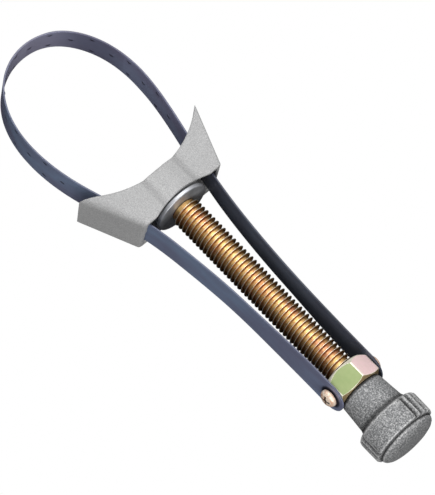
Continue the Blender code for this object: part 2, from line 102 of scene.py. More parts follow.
def row_x(x_mm):
    """Millimetres from the thrust face as row X."""
    return x_mm * MM - SHIFT


def metres(rows):
    """A table in millimetres, in metres."""
    return [tuple(value * MM for value in row) for row in rows]


# Thread
PITCH = 25.4 / 13 * MM
THREAD_R = 6.35 * MM
ROOT_R = 5.15 * MM

# Nut and the screws on two of its flats
NUT_X0, NUT_X1 = span("hex_nut")
NUT_ACROSS = 19.05 * MM
NUT_TURN = math.radians(-4.0)
SCREW_X = 94.1 * MM

# Strap
STRAP_T = 0.7 * MM
STRAP_W = 14.0 * MM
STRAP_GAP = 0.3 * MM  # from nut flat to strap, and from strap to screw head
STRAP_FLARE = 0.93 * MM  # outward lean at each edge, where it is greatest
SLOT_X = -14.3 * MM  # where leg and flank meet
FLANK_X = -61.5 * MM  # where flank and crown meet
STRAP_END_X = span("strap_leg_left")[1]


# ---------------------------------------------------------------- mesh tools

def new_mesh(name, verts, faces, sharp_angle=None):
    """A mesh object from points measured from the thrust face; flat without a sharp angle."""
    mesh = bpy.data.meshes.new(name)
    array = np.array(verts, float)
    array[:, 0] -= SHIFT
    mesh.from_pydata([tuple(v) for v in array], [], faces)
    bm = bmesh.new()
    bm.from_mesh(mesh)
    bmesh.ops.recalc_face_normals(bm, faces=bm.faces)
    bm.to_mesh(mesh)
    bm.free()
    obj = bpy.data.objects.new(name, mesh)
    if sharp_angle is not None:
        shade_by_angle(obj, sharp_angle)
    bpy.context.scene.collection.objects.link(obj)
    return obj


def shade_by_angle(obj, degrees):
    """Smooth shading, with edges sharper than the angle kept crisp."""
    obj.data.shade_smooth()
    obj.data.set_sharp_from_angle(angle=math.radians(degrees))


def points(obj):
    """The vertices of a piece in the row frame, one row each."""
    flat = np.zeros(len(obj.data.vertices) * 3)
    obj.data.vertices.foreach_get("co", flat)
    return flat.reshape(-1, 3)


def note(obj, name, values):
    """Stores one number per vertex for a material to read."""
    attribute = obj.data.attributes.new(name, "FLOAT", "POINT")
    attribute.data.foreach_set("value", np.asarray(values, np.float32))


def apply_all(obj):
    """Bakes an object's modifiers into its mesh."""
    graph = bpy.context.evaluated_depsgraph_get()
    baked = bpy.data.meshes.new_from_object(obj.evaluated_get(graph))
    old = obj.data
    obj.modifiers.clear()
    obj.data = baked
    bpy.data.meshes.remove(old)


def cut(obj, shape, operation="DIFFERENCE", materials=(), material_at=None):
    """A Boolean of obj with a shape (verts, faces).

    material_at gives the shape's material index at a face's X from the thrust face.
    """
    tool = new_mesh("tool", *shape)
    for material in materials:
        tool.data.materials.append(material)
    if material_at:
        for polygon in tool.data.polygons:
            polygon.material_index = material_at(polygon.center.x + SHIFT)
    modifier = obj.modifiers.new("cut", "BOOLEAN")
    modifier.operation = operation
    modifier.solver = "EXACT"
    modifier.object = tool
    apply_all(obj)
    data = tool.data
    bpy.data.objects.remove(tool, do_unlink=True)
    bpy.data.meshes.remove(data)


def bevel_edges(obj, width, segments, degrees, material=-1):
    """Rounds edges sharper than the angle; material is the index given to the new faces."""
    modifier = obj.modifiers.new("edges", "BEVEL")
    modifier.width = width
    modifier.segments = segments
    modifier.limit_method = "ANGLE"
    modifier.angle_limit = math.radians(degrees)
    modifier.material = material
    apply_all(obj)


def hand_over(obj, part, body=None):
    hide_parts(part)
    if body:
        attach(obj, body)


def turned(profile, sides, radius=None):
    """A solid of revolution about X from an open profile of (x, r) with both ends on the axis.

    radius(x, r, angle), if given, changes the radius around the turn.
    """
    verts, faces, rings = [], [], []
    for x, r in profile:
        if r == 0:
            rings.append([len(verts)])
            verts.append((x, 0.0, 0.0))
            continue
        ring = []
        for i in range(sides):
            angle = 2 * math.pi * i / sides
            reach = radius(x, r, angle) if radius else r
            ring.append(len(verts))
            verts.append((x, reach * math.cos(angle), reach * math.sin(angle)))
        rings.append(ring)
    for first, second in zip(rings, rings[1:]):
        for i in range(sides):
            j = (i + 1) % sides
            if len(first) == 1:
                faces.append((first[0], second[i], second[j]))
            elif len(second) == 1:
                faces.append((first[i], second[0], first[j]))
            else:
                faces.append((first[i], second[i], second[j], first[j]))
    return verts, faces


def cylinder(x0, x1, radius, sides):
    """A plain cylinder about X."""
    return turned([(x0, 0), (x0, radius), (x1, radius), (x1, 0)], sides)


def turned_ring(profile, sides):
    """A ring about X from a closed profile of (x, r)."""
    verts, faces, count = [], [], len(profile)
    for i in range(sides):
        angle = 2 * math.pi * i / sides
        verts += [(x, r * math.cos(angle), r * math.sin(angle)) for x, r in profile]
    for i in range(sides):
        j = (i + 1) % sides
        for k in range(count):
            m = (k + 1) % count
            faces.append((i * count + k, i * count + m, j * count + m, j * count + k))
    return verts, faces


def prism(outline, low, high, axis=2):
    """An outline of two coordinates, carried along the third axis from low to high."""
    verts, n = [], len(outline)
    for level in (low, high):
        for point in outline:
            vert = list(point)
            vert.insert(axis, level)
            verts.append(tuple(vert))
    faces = [tuple(range(n))[::-1], tuple(range(n, 2 * n))]
    faces += [(i, (i + 1) % n, n + (i + 1) % n, n + i) for i in range(n)]
    return verts, faces


def spun(verts, angle):
    """Points turned about the spindle's axis."""
    c, s = math.cos(angle), math.sin(angle)
    return [(x, y * c - z * s, y * s + z * c) for x, y, z in verts]


def on_screw_axis(shape, side):
    """A shape turned about X, laid along the screw's axis on the right (1) or left (-1)."""
    verts, faces = shape
    return spun([(SCREW_X + y, side * x, z) for x, y, z in verts], NUT_TURN), faces


def about_screw(co):
    """For row-frame points: distance from the screws' axis, and place along it."""
    c, s = math.cos(NUT_TURN), math.sin(NUT_TURN)
    away = np.hypot(co[:, 0] + SHIFT - SCREW_X, co[:, 2] * c - co[:, 1] * s)
    return away, co[:, 1] * c + co[:, 2] * s


def rounded(line, radius, steps=6):
    """A polyline with each inner corner replaced by a small curve."""
    out = [line[0]]
    for before, at, after in zip(line, line[1:], line[2:]):
        corner = np.array(at)
        back, ahead = np.array(before) - corner, np.array(after) - corner
        back_length, ahead_length = np.linalg.norm(back), np.linalg.norm(ahead)
        if back_length < 1e-9 or ahead_length < 1e-9:
            out.append(at)
            continue
        reach = min(radius, back_length * 0.45, ahead_length * 0.45)
        start = corner + back / back_length * reach
        end = corner + ahead / ahead_length * reach
        for k in range(steps + 1):
            t = k / steps
            out.append(tuple(start * (1 - t) ** 2 + corner * 2 * t * (1 - t) + end * t**2))
    out.append(line[-1])
    return out


def hill(value, at, width):
    """A bell of height 1 at a place."""
    return np.exp(-(((value - at) / width) ** 2))


def smooth_step(t):
    """Eases 0 to 1 with level ends."""
    return t * t * (3 - 2 * t)


# ---------------------------------------------------------------- node tools

def fill_ramp(node, stops):
    """Sets a colour ramp's stops of (place, linear colour)."""
    elements = node.color_ramp.elements
    while len(elements) < len(stops):
        elements.new(0.5)
    for element, (place, colour) in zip(elements, stops):
        element.position = place
        element.color = (*colour, 1.0)


class Nodes:
    """A small builder for a material's node tree."""

    SURFACE_INPUTS = {
        "colour": "Base Color", "metal": "Metallic", "rough": "Roughness", "bump": "Normal",
        "coat": "Coat Weight", "coat_rough": "Coat Roughness", "spec": "Specular IOR Level",
    }

    def __init__(self, name):
        self.mat = bpy.data.materials.new(name)
        self.mat.use_nodes = True
        self.tree = self.mat.node_tree
        self.bsdf = self.tree.nodes["Principled BSDF"]
        coord = self.tree.nodes.new("ShaderNodeTexCoord")
        self.position = coord.outputs["Object"]
        self.normal = coord.outputs["Normal"]

    def put(self, socket, value):
        """Links a socket, or sets its value."""
        if hasattr(value, "is_output"):
            self.tree.links.new(value, socket)
        elif isinstance(value, tuple) and len(value) == 3 and socket.type == "RGBA":
            socket.default_value = (*value, 1.0)
        else:
            socket.default_value = value

    def surface(self, **inputs):
        """Feeds the Principled shader and returns the finished material."""
        for key, value in inputs.items():
            self.put(self.bsdf.inputs[self.SURFACE_INPUTS[key]], value)
        return self.mat

    def math(self, operation, a, b=0.0, clamp=False):
        node = self.tree.nodes.new("ShaderNodeMath")
        node.operation = operation
        node.use_clamp = clamp
        for socket, value in zip(node.inputs, (a, b, 0.0)):
            self.put(socket, value)
        return node.outputs[0]

    def times(self, a, b):
        return self.math("MULTIPLY", a, b)

    def vector(self, operation, a, b):
        node = self.tree.nodes.new("ShaderNodeVectorMath")
        node.operation = operation
        self.put(node.inputs[0], a)
        self.put(node.inputs[1], b)
        return node.outputs["Value" if operation == "DOT_PRODUCT" else "Vector"]

    def axes(self, source=None):
        node = self.tree.nodes.new("ShaderNodeSeparateXYZ")
        self.put(node.inputs[0], source or self.position)
        return node.outputs[:]

    def combine(self, x, y):
        node = self.tree.nodes.new("ShaderNodeCombineXYZ")
        self.put(node.inputs[0], x)
        self.put(node.inputs[1], y)
        return node.outputs[0]

    def turning(self):
        """The place along the spindle's axis and the distance from it."""
        x, y, z = self.axes()
        square = self.math("ADD", self.times(y, y), self.times(z, z))
        return x, self.math("SQRT", square)

    def noise(self, scale=1.0, detail=3.0, rough=0.55, stretch=None, at=None):
        """Noise; stretch gives a scale for each axis."""
        at = at or self.position
        if stretch:
            at = self.vector("MULTIPLY", at, stretch)
        node = self.tree.nodes.new("ShaderNodeTexNoise")
        self.put(node.inputs["Vector"], at)
        self.put(node.inputs["Scale"], scale)
        node.inputs["Detail"].default_value = detail
        node.inputs["Roughness"].default_value = rough
        return node.outputs[0]

    def ramp(self, fac, stops):
        node = self.tree.nodes.new("ShaderNodeValToRGB")
        self.put(node.inputs[0], fac)
        fill_ramp(node, stops)
        return node.outputs[0]

    def remap(self, value, span, to=(0.0, 1.0)):
        """Carries one range to another, clamped at both ends."""
        node = self.tree.nodes.new("ShaderNodeMapRange")
        for socket, setting in zip(node.inputs, (value, *span, *to)):
            self.put(socket, setting)
        return node.outputs[0]

    def mix(self, amount, base, over):
        """Lays one colour over another."""
        node = self.tree.nodes.new("ShaderNodeMix")
        node.data_type = "RGBA"
        # Sockets 6 and 7, and output 2, are the colour ones.
        for index, value in ((0, amount), (6, base), (7, over)):
            self.put(node.inputs[index], value)
        return node.outputs[2]

    def bump(self, height, distance, strength, over=None):
        node = self.tree.nodes.new("ShaderNodeBump")
        self.put(node.inputs["Height"], height)
        node.inputs["Distance"].default_value = distance
        node.inputs["Strength"].default_value = strength
        if over is not None:
            self.put(node.inputs["Normal"], over)
        return node.outputs[0]

    def attribute(self, name):
        node = self.tree.nodes.new("ShaderNodeAttribute")
        node.attribute_name = name
        return node.outputs["Fac"]

    def edges(self, radius):
        """0 on flats, rising on edges as the softened normal bends from the surface."""
        bevel = self.tree.nodes.new("ShaderNodeBevel")
        bevel.samples = 6
        bevel.inputs["Radius"].default_value = radius
        geometry = self.tree.nodes.new("ShaderNodeNewGeometry")
        close = self.vector("DOT_PRODUCT", bevel.outputs[0], geometry.outputs["Normal"])
        return self.math("SUBTRACT", 1.0, close, clamp=True)


def srgb(r, g, b):
    """Display values 0 to 255 as linear light."""
    def one(v):
        v /= 255
        return v / 12.92 if v <= 0.04045 else ((v + 0.055) / 1.055) ** 2.4
    return (one(r), one(g), one(b))


def scaled(colour, factor):
    """A colour made darker or lighter, up to white."""
    return tuple(min(1.0, factor * v) for v in colour)


# ---------------------------------------------------------------- materials

def cast_metal(name, dark, mid, light, grain, contrast, rough, metal, bump_depth):
    """Cast aluminium: fine speckle of size grain, wide blotches, brighter edges that are partly wear
    and partly painted highlight, and painted highlight and shade from per-vertex values.
    """
    n = Nodes(name)
    fine = n.noise(scale=1.0 / grain, detail=2.0, rough=0.65)
    finer = n.noise(scale=2.6 / grain, detail=2.0, rough=0.6)
    wide = n.noise(scale=95.0, detail=4.0, rough=0.55)
    speckle = n.math("ADD", n.times(fine, 0.6), n.times(finer, 0.4))
    reach = 0.16 / contrast
    level = n.remap(speckle, span=(0.5 - reach, 0.5 + reach))
    colour = n.ramp(level, [(0.0, dark), (0.5, mid), (1.0, light)])
    blotches = n.remap(wide, span=(0.35, 0.68), to=(0.0, 0.22))
    colour = n.mix(blotches, colour, scaled(mid, 0.74))
    # Brighter edges: partly wear, partly painted highlight.
    wear_and_highlight = n.remap(n.edges(radius=0.35 * MM), span=(0.02, 0.22), to=(0.0, 0.55))
    colour = n.mix(wear_and_highlight, colour, scaled(light, 1.25))
    # Painted highlight, from the per-vertex values.
    painted_highlight_amount = n.times(n.attribute("painted_highlight"), n.remap(fine, span=(0.35, 0.6), to=(0.25, 0.8)))
    colour = n.mix(painted_highlight_amount, colour, scaled(light, 1.45))
    # Painted shade, nearly black, from the per-vertex values.
    painted_shade_amount = n.times(n.attribute("painted_shade"), n.remap(fine, span=(0.3, 0.6), to=(1.0, 0.82)))
    colour = n.mix(painted_shade_amount, colour, scaled(mid, 0.035))
    normal = n.bump(speckle, distance=bump_depth, strength=0.8)
    normal = n.bump(wide, distance=0.5 * MM, strength=0.2, over=normal)
    roughness = n.remap(speckle, span=(0.3, 0.7), to=(rough + 0.1, rough - 0.08))
    return n.surface(colour=colour, metal=metal, rough=roughness, bump=normal, spec=0.4)


def zinc_thread():
    """Yellow zinc plate: gold, copper and rose bands, painted shade on dark flanks and a painted
    highlight on bright crests.
    """
    bands = [
        (0.28, srgb(190, 124, 92)), (0.38, srgb(208, 158, 104)), (0.50, srgb(216, 180, 118)),
        (0.58, srgb(214, 168, 108)), (0.66, srgb(194, 132, 100)), (0.76, srgb(222, 192, 126)),
    ]
    streak_brown, flank_shade_brown = srgb(150, 98, 58), srgb(138, 92, 54)
    crest_highlight_ivory, crest_highlight_cover = srgb(255, 250, 232), 1.0
    n = Nodes("yellow_zinc_thread")
    _, radius = n.turning()
    depth = n.remap(radius, span=(ROOT_R, THREAD_R))
    wander = n.noise(detail=4.0, rough=0.6, stretch=(55.0, 130.0, 130.0))
    tone = n.ramp(wander, bands)
    streak = n.noise(detail=3.0, rough=0.6, stretch=(900.0, 260.0, 260.0))
    tone = n.mix(n.remap(streak, span=(0.48, 0.70), to=(0.0, 0.4)), tone, streak_brown)
    # Painted shade in the roots beside the flanks, from per-vertex values
    colour = n.mix(n.times(n.attribute("painted_shade"), 0.66), tone, flank_shade_brown)
    # Painted highlight on the crests
    crest = n.remap(depth, span=(0.66, 0.90))
    colour = n.mix(n.times(crest, crest_highlight_cover), colour, crest_highlight_ivory)
    scuff = n.noise(scale=1400.0, detail=3.0, rough=0.6)
    rough = n.remap(scuff, span=(0.3, 0.7), to=(0.32, 0.46))
    bump = n.bump(scuff, distance=0.03 * MM, strength=0.6)
    return n.surface(colour=colour, metal=0.95, rough=rough, bump=bump)


def zinc_nut():
    """Iridescent zinc plate: the hue follows the way each flat faces, with faint mottling; ivory
    edges, partly bare metal and partly painted highlight.
    """
    green, rose = srgb(150, 167, 112), srgb(255, 222, 222)
    straw, lilac = srgb(214, 206, 150), srgb(190, 186, 210)
    mottle_straw, end_brown, edge_ivory_highlight = srgb(196, 196, 150), srgb(142, 122, 86), srgb(252, 248, 228)
    # Share of a turn about X, and the hue there
    hues = [
        (0.0, rose), (0.235, rose), (0.262, green), (0.42, green), (0.50, straw),
        (0.66, straw), (0.74, lilac), (0.92, lilac), (1.0, rose),
    ]
    n = Nodes("iridescent_zinc_nut")
    geometry = n.tree.nodes.new("ShaderNodeNewGeometry")
    nx, ny, nz = n.axes(geometry.outputs["Normal"])
    turn = n.math("DIVIDE", n.math("ARCTAN2", nz, ny), 2 * math.pi)
    hue = n.ramp(n.math("FRACT", n.math("ADD", turn, 1.0)), hues)
    mottle = n.noise(scale=420.0, detail=4.0, rough=0.6)
    hue = n.mix(n.remap(mottle, span=(0.35, 0.7), to=(0.0, 0.18)), hue, mottle_straw)
    hue = n.mix(n.remap(n.math("ABSOLUTE", nx), span=(0.35, 0.85)), hue, end_brown)
    # Ivory edges: partly bare metal, partly painted highlight.
    wear_and_highlight = n.remap(n.edges(radius=0.34 * MM), span=(0.006, 0.04))
    hue = n.mix(wear_and_highlight, hue, edge_ivory_highlight)
    fine = n.noise(scale=1600.0, detail=2.0, rough=0.6)
    rough = n.remap(fine, span=(0.3, 0.7), to=(0.34, 0.5))
    bump = n.bump(fine, distance=0.02 * MM, strength=0.5)
    return n.surface(colour=hue, metal=0.25, rough=rough, bump=bump, spec=0.5)


def bright_edge():
    """The nut's rubbed edges, ivory and smooth: partly bare metal, partly painted highlight."""
    shades = [(0.3, srgb(236, 230, 206)), (0.7, srgb(255, 252, 236))]
    n = Nodes("nut_edge")
    fine = n.noise(scale=900.0, detail=3.0, rough=0.6)
    colour = n.ramp(fine, shades)
    rough = n.remap(fine, span=(0.3, 0.7), to=(0.25, 0.4))
    bump = n.bump(fine, distance=0.02 * MM, strength=0.4)
    return n.surface(colour=colour, metal=0.25, rough=rough, bump=bump)


def nut_hole():
    """The nut's bore and its countersinks: darker brownish zinc."""
    shades = [(0.3, srgb(96, 74, 48)), (0.7, srgb(158, 128, 84))]
    n = Nodes("nut_inside")
    fine = n.noise(scale=700.0, detail=3.0, rough=0.6)
    bump = n.bump(fine, distance=0.02 * MM, strength=0.4)
    return n.surface(colour=n.ramp(fine, shades), metal=0.8, rough=0.42, bump=bump)


def blued_strip(name, shades, tip_highlight=0.0, dark_band=False):
    """Blued spring steel: drifting shades, faint rolling lines along the strip, pale edges of painted
    highlight.

    shades are dark, middle and light; the next argument is the strength of a painted lavender
    highlight towards the loop's tip; dark_band darkens a band between flank and tip.
    """
    dark, middle, light = shades
    tip_highlight_lavender = srgb(196, 192, 214)
    edge_highlight, mark_rim_highlight = srgb(138, 143, 170), srgb(104, 108, 132)
    n = Nodes(name)
    x, _, z = n.axes()
    drift = n.noise(detail=3.0, rough=0.5, stretch=(26.0, 26.0, 60.0))
    tone = n.ramp(drift, [(0.30, dark), (0.45, middle), (0.58, light), (0.72, middle)])
    lines = n.noise(detail=3.0, rough=0.6, stretch=(60.0, 60.0, 2600.0))
    tone = n.mix(n.remap(lines, span=(0.35, 0.70), to=(0.0, 0.22)), tone, scaled(dark, 0.55))
    specks = n.noise(scale=2300.0, detail=2.0, rough=0.6)
    tone = n.mix(n.remap(specks, span=(0.60, 0.80), to=(0.0, 0.25)), tone, scaled(light, 1.6))
    # Painted lavender highlight, growing towards the loop's tip
    if tip_highlight:
        near_tip = n.math("POWER", n.remap(x, span=(row_x(-72), row_x(-91))), 1.8)
        tone = n.mix(n.times(near_tip, tip_highlight), tone, tip_highlight_lavender)

    # Pale painted highlight on the last part of the width, stronger at the top edge
    wide, narrow = STRAP_W / 2 - 0.75 * MM, STRAP_W / 2 - 0.05 * MM
    top = n.math("POWER", n.remap(z, span=(wide, narrow)), 2.0)
    low = n.math("POWER", n.remap(z, span=(-wide, -narrow)), 2.0)
    patches = n.remap(n.noise(scale=300.0), span=(0.3, 0.6), to=(0.05, 0.35))
    painted_highlight = n.times(n.math("MAXIMUM", top, n.times(low, 0.35)), patches)
    tone = n.mix(painted_highlight, tone, edge_highlight)
    if dark_band:
        band_start = n.remap(x, span=(row_x(-56), row_x(-70)))
        band_end = n.remap(x, span=(row_x(-88), row_x(-80)))
        band = n.times(band_start, band_end)
        tone = n.mix(n.times(band, 0.5), tone, scaled(dark, 0.5))

    # Pressed marks: a pale rim of painted highlight about a dark middle of painted shade
    near = n.attribute("mark")
    inside = n.remap(near, span=(1.0, 0.65))
    rim = n.times(n.remap(near, span=(0.95, 1.1)), n.remap(near, span=(1.45, 1.15)))
    tone = n.mix(n.times(rim, 0.3), tone, mark_rim_highlight)
    tone = n.mix(n.times(inside, 0.9), tone, scaled(dark, 0.14))
    tone = n.mix(n.attribute("shade"), tone, scaled(dark, 0.08))
    # Painted shade on faces turned upwards, along the top edge
    top_edge = n.remap(n.axes(n.normal)[2], span=(0.45, 0.85))
    tone = n.mix(n.times(top_edge, 0.7), tone, scaled(dark, 0.28))
    rough = n.remap(lines, span=(0.3, 0.7), to=(0.30, 0.44))
    bump = n.bump(lines, distance=0.02 * MM, strength=0.35)
    return n.surface(
        colour=tone, metal=0.3, rough=rough, bump=bump, spec=0.5, coat=0.1, coat_rough=0.3
    )


def turned_steel(name, light, dark, metal, rough):
    """Turned steel: fine rings about the spindle's axis and faint stains."""
    n = Nodes(name)
    x, radius = n.turning()
    rings = n.noise(rough=0.7, at=n.combine(radius, x), stretch=(9000.0, 9000.0, 1.0))
    stain_and_shade = n.noise(scale=160.0, detail=4.0, rough=0.6)
    colour = n.mix(n.remap(stain_and_shade, span=(0.3, 0.7)), light, dark)
    colour = n.mix(n.remap(rings, span=(0.4, 0.7), to=(0.0, 0.3)), colour, scaled(dark, 0.7))
    roughness = n.remap(rings, span=(0.3, 0.7), to=(rough - 0.06, rough + 0.08))
    bump = n.bump(rings, distance=0.02 * MM, strength=0.5)
    return n.surface(colour=colour, metal=metal, rough=roughness, bump=bump)


def screw_zinc():
    """Peach-coloured zinc plate with a dark cross of painted shade, and painted shade in its creases.
    """
    peach = [(0.30, srgb(222, 170, 140)), (0.5, srgb(248, 220, 196)), (0.66, srgb(255, 244, 228))]
    cavity_shade_brown, recess_shade_brown = srgb(62, 30, 18), srgb(52, 26, 16)
    n = Nodes("screw_zinc")
    stain_and_shade = n.noise(scale=900.0, detail=4.0, rough=0.6)
    colour = n.ramp(stain_and_shade, peach)
    # Painted shade where ambient occlusion finds creases
    cavity = n.tree.nodes.new("ShaderNodeAmbientOcclusion")
    cavity.samples = 6
    cavity.inputs["Distance"].default_value = 1.3 * MM
    hidden = n.remap(cavity.outputs["AO"], span=(0.35, 0.85), to=(0.95, 0.0))
    colour = n.mix(hidden, colour, cavity_shade_brown)
    # Painted shade in the cross recess, from per-vertex values
    colour = n.mix(n.remap(n.attribute("painted_shade"), span=(0.0, 0.35)), colour, recess_shade_brown)
    bump = n.bump(stain_and_shade, distance=0.03 * MM, strength=0.5)
    return n.surface(colour=colour, metal=0.25, rough=0.3, bump=bump)


# ---------------------------------------------------------------- saddle

SADDLE_TOP, SADDLE_BOTTOM = 10.0 * MM, -10.8 * MM
HALF_WIDTH, HALF_WIDTH_X = 20.2 * MM, -1.8 * MM  # half the width, and the X where it holds
SIDE_SLOPE = 0.42  # widening of each side per length towards the jaws
SADDLE_FACE_X = -0.6 * MM
FACE_LEAN = 0.065
ROCK, ROCK_X = math.radians(2.0), -7.0 * MM  # the whole casting's turn about Z, and its centre
JAW_X, JAW_R = -14.7 * MM, 45.8 * MM
ARCH_R = 12.6 * MM
SIDE_WALL = 1.6 * 1.085 * MM  # a 1.6 mm wall, measured across Y on the sloping side
POCKET_X, POCKET_Y, POCKET_Z = -12.0 * MM, 6 * MM, 7.9 * MM
BOSS_R = 11 * MM
FLARE_X, FLARE_END_X = -2.5 * MM, 1.5 * MM
FLARE_R, FLARE_SLOPE = 11.9 * MM, 2.6
SLOT_HALF_Z = 8.2 * MM

# Rounded corner of the knob-side face: (x from the face, y from HALF_WIDTH), in mm
FACE_CORNER = [(0, -1.2), (-0.2, -0.3), (-0.7, 0.4), (-1.6, 0.9), (-1.6, 20), (14, 20)]
# Strap slot seen along Z: (x, y), in mm
STRAP_SLOT = [(-9, 16.75), (-9, 20.43), (-36, 28.26), (-36, 23.5)]


def rocked(verts):
    """Points turned with the whole saddle."""
    c, s = math.cos(ROCK), math.sin(ROCK)
    return [
        (ROCK_X + (x - ROCK_X) * c - y * s, (x - ROCK_X) * s + y * c, z) for x, y, z in verts
    ]


def saddle_section(x, soft, crisp):
    """The saddle's outline at x: soft and crisp corner radii on opposite diagonals."""
    wide = HALF_WIDTH + (HALF_WIDTH_X - x) * SIDE_SLOPE
    ring = []
    for cy, cz, first in ((1, 1, 0), (-1, 1, 90), (-1, -1, 180), (1, -1, 270)):
        radius = soft if cy * cz < 0 else crisp
        level = SADDLE_TOP if cz > 0 else SADDLE_BOTTOM
        for k in range(19):
            t = math.radians(first + 5 * k)
            y = cy * (wide - radius) + radius * math.cos(t)
            ring.append((x, y, level - cz * radius + radius * math.sin(t)))
    return ring


def saddle_block():
    """The tapering block that the saddle is cut from."""
    knob_end = saddle_section(4 * MM, soft=2.0 * MM, crisp=0.8 * MM)
    jaw_end = saddle_section(-34 * MM, soft=5.6 * MM, crisp=0.8 * MM)
    n = len(knob_end)
    faces = [(i, (i + 1) % n, n + (i + 1) % n, n + i) for i in range(n)]
    faces += [tuple(range(n)), tuple(range(2 * n - 1, n - 1, -1))]
    return new_mesh("saddle_casting", rocked(knob_end + jaw_end), faces)


def pocket(side):
    """A pocket open at the knob-side face, between the boss and the side wall."""
    outline = []
    for x in (5 * MM, POCKET_X):
        outer = HALF_WIDTH - SIDE_WALL + (HALF_WIDTH_X - x) * SIDE_SLOPE
        pair = [(x, POCKET_Y), (x, outer)]
        outline += pair if x > 0 else pair[::-1]
    return prism([(x, side * y) for x, y in outline], -POCKET_Z, POCKET_Z)


def face_cut():
    """What lies beyond the leaning knob-side face and its rounded corners."""
    outline = [(SADDLE_FACE_X + x, HALF_WIDTH + y) for x, y in metres(FACE_CORNER)]
    outline += [(x, -y) for x, y in outline[::-1]]
    verts, faces = prism(outline, -30 * MM, 30 * MM)
    return [(x + (z - SADDLE_TOP) * FACE_LEAN, y, z) for x, y, z in verts], faces


def flare_cut():
    """A cone that opens towards the knob, about the axis."""
    wide = FLARE_R + FLARE_SLOPE * (FLARE_END_X - FLARE_X)
    far = 9 * MM
    profile = [(FLARE_X, 0), (FLARE_X, FLARE_R), (FLARE_END_X, wide), (far, wide), (far, 0)]
    return turned(profile, 192)


def jaw_cut():
    """The hollow arc between the jaws, seen along Z."""
    centre, outline = JAW_X - JAW_R, []
    for k in range(201):
        t = math.radians(-50 + 0.5 * k)
        outline.append((centre + JAW_R * math.cos(t), JAW_R * math.sin(t)))
    outline += metres([(-120, 60), (-120, -60)])
    return prism(outline, -40 * MM, 40 * MM)


def build_saddle(material):
    """The cast saddle, cut from a block and softened like a casting."""
    saddle = saddle_block()

    def carve(shape, operation="DIFFERENCE"):
        cut(saddle, (rocked(shape[0]), shape[1]), operation)

    carve(cylinder(6 * MM, -36 * MM, ARCH_R, 192), "UNION")
    for side in (1, -1):
        carve(pocket(side))
    carve(cylinder(4 * MM, POCKET_X - 1.5 * MM, BOSS_R, 192), "UNION")
    carve(face_cut())
    carve(flare_cut())
    carve(jaw_cut())
    for side in (1, -1):
        slot = [(x, side * y) for x, y in metres(STRAP_SLOT)]
        carve(prism(slot, -SLOT_HALF_Z, SLOT_HALF_Z))
    carve(cylinder(8 * MM, -40 * MM, 5 * MM, 96))  # spindle bore
    carve(cylinder(-11.6 * MM, -40 * MM, 7.6 * MM, 96))  # counterbore at the jaws

    remesh = saddle.modifiers.new("remesh", "REMESH")
    remesh.mode = "VOXEL"
    remesh.voxel_size = 0.34 * MM
    remesh.adaptivity = 0.0
    soften = saddle.modifiers.new("soften", "SMOOTH")
    soften.factor = 0.5
    soften.iterations = 7
    apply_all(saddle)
    saddle.data.shade_smooth()

    # Painted shade at the foot of the arch and painted highlight on its shoulders, above and below
    co = points(saddle)
    y, z = np.abs(co[:, 1]) / MM, np.abs(co[:, 2]) / MM
    outside = np.clip((z - 9.0) / 0.6, 0, 1)
    note(saddle, "painted_shade", 0.24 * (hill(y, at=8.3, width=1.1) * outside))
    note(saddle, "painted_highlight", 0.25 * hill(y, at=5.6, width=1.5) * outside)
    saddle.data.materials.clear()
    saddle.data.materials.append(material)
    hand_over(saddle, "saddle", body="saddle_body")


# ---------------------------------------------------------------- knob

PANEL_DEG = 121.5  # middle of one plain panel, about X; the other is opposite
PANEL_HALF = 48.5  # half a panel's angle
RIB_DEG = (90.0 - PANEL_HALF) / 3
PANEL_DROP, RIB_DROP = 0.35 * MM, 1.3 * MM
KNOB_BORE_R, KNOB_BORE_END = 5.35, 115.8  # mm
HEAD_X, HEAD_TO_END, HEAD_EASE = 113.3 * MM, 3.3 * MM, 0.9 * MM  # ribbed part's limits

# Neck and head: (x, r), in mm
KNOB_NECK = [
    (105.5, 9.6), (110.9, 10.1), (112.2, 10.6), (112.9, 11.5), (113.4, 12.9), (114.0, 13.65),
    (114.9, 13.8),
]
# Head, seam and low dome: (distance back from the knob's end, r), in mm
KNOB_DOME = [
    (4.5, 13.75), (3.9, 13.55), (3.65, 12.9), (3.5, 11.9), (3.2, 11.75), (2.95, 12.1),
    (2.6, 12.3), (1.7, 11.75), (0.85, 10.5), (0.4, 9.1), (0.12, 7.3), (0, 5.6),
]


def knob_profile(face, end):
    """The knob's profile of (x, r) in fine steps, with its bore on the strap's side."""
    start, stop = face / MM, end / MM
    outline = [(start, KNOB_BORE_R), (start, 8.8), (start + 0.4, 9.15)] + KNOB_NECK
    outline += [(stop - back, r) for back, r in KNOB_DOME]
    outline = rounded(metres(outline), 0.25 * MM, 4)
    profile = metres([(KNOB_BORE_END, 0.0), (KNOB_BORE_END, KNOB_BORE_R)])
    for (x0, r0), (x1, r1) in zip(outline, outline[1:]):
        steps = max(1, int(math.hypot(x1 - x0, r1 - r0) / (0.3 * MM)))
        profile += [
            (x0 + (x1 - x0) * k / steps, r0 + (r1 - r0) * k / steps) for k in range(steps)
        ]
    return profile + [outline[-1], (end, 0.0)]


def from_panel(degrees):
    """The angle from the middle of the nearer panel, 0 to 90."""
    return 90 - abs(90 - (degrees - PANEL_DEG) % 180.0)


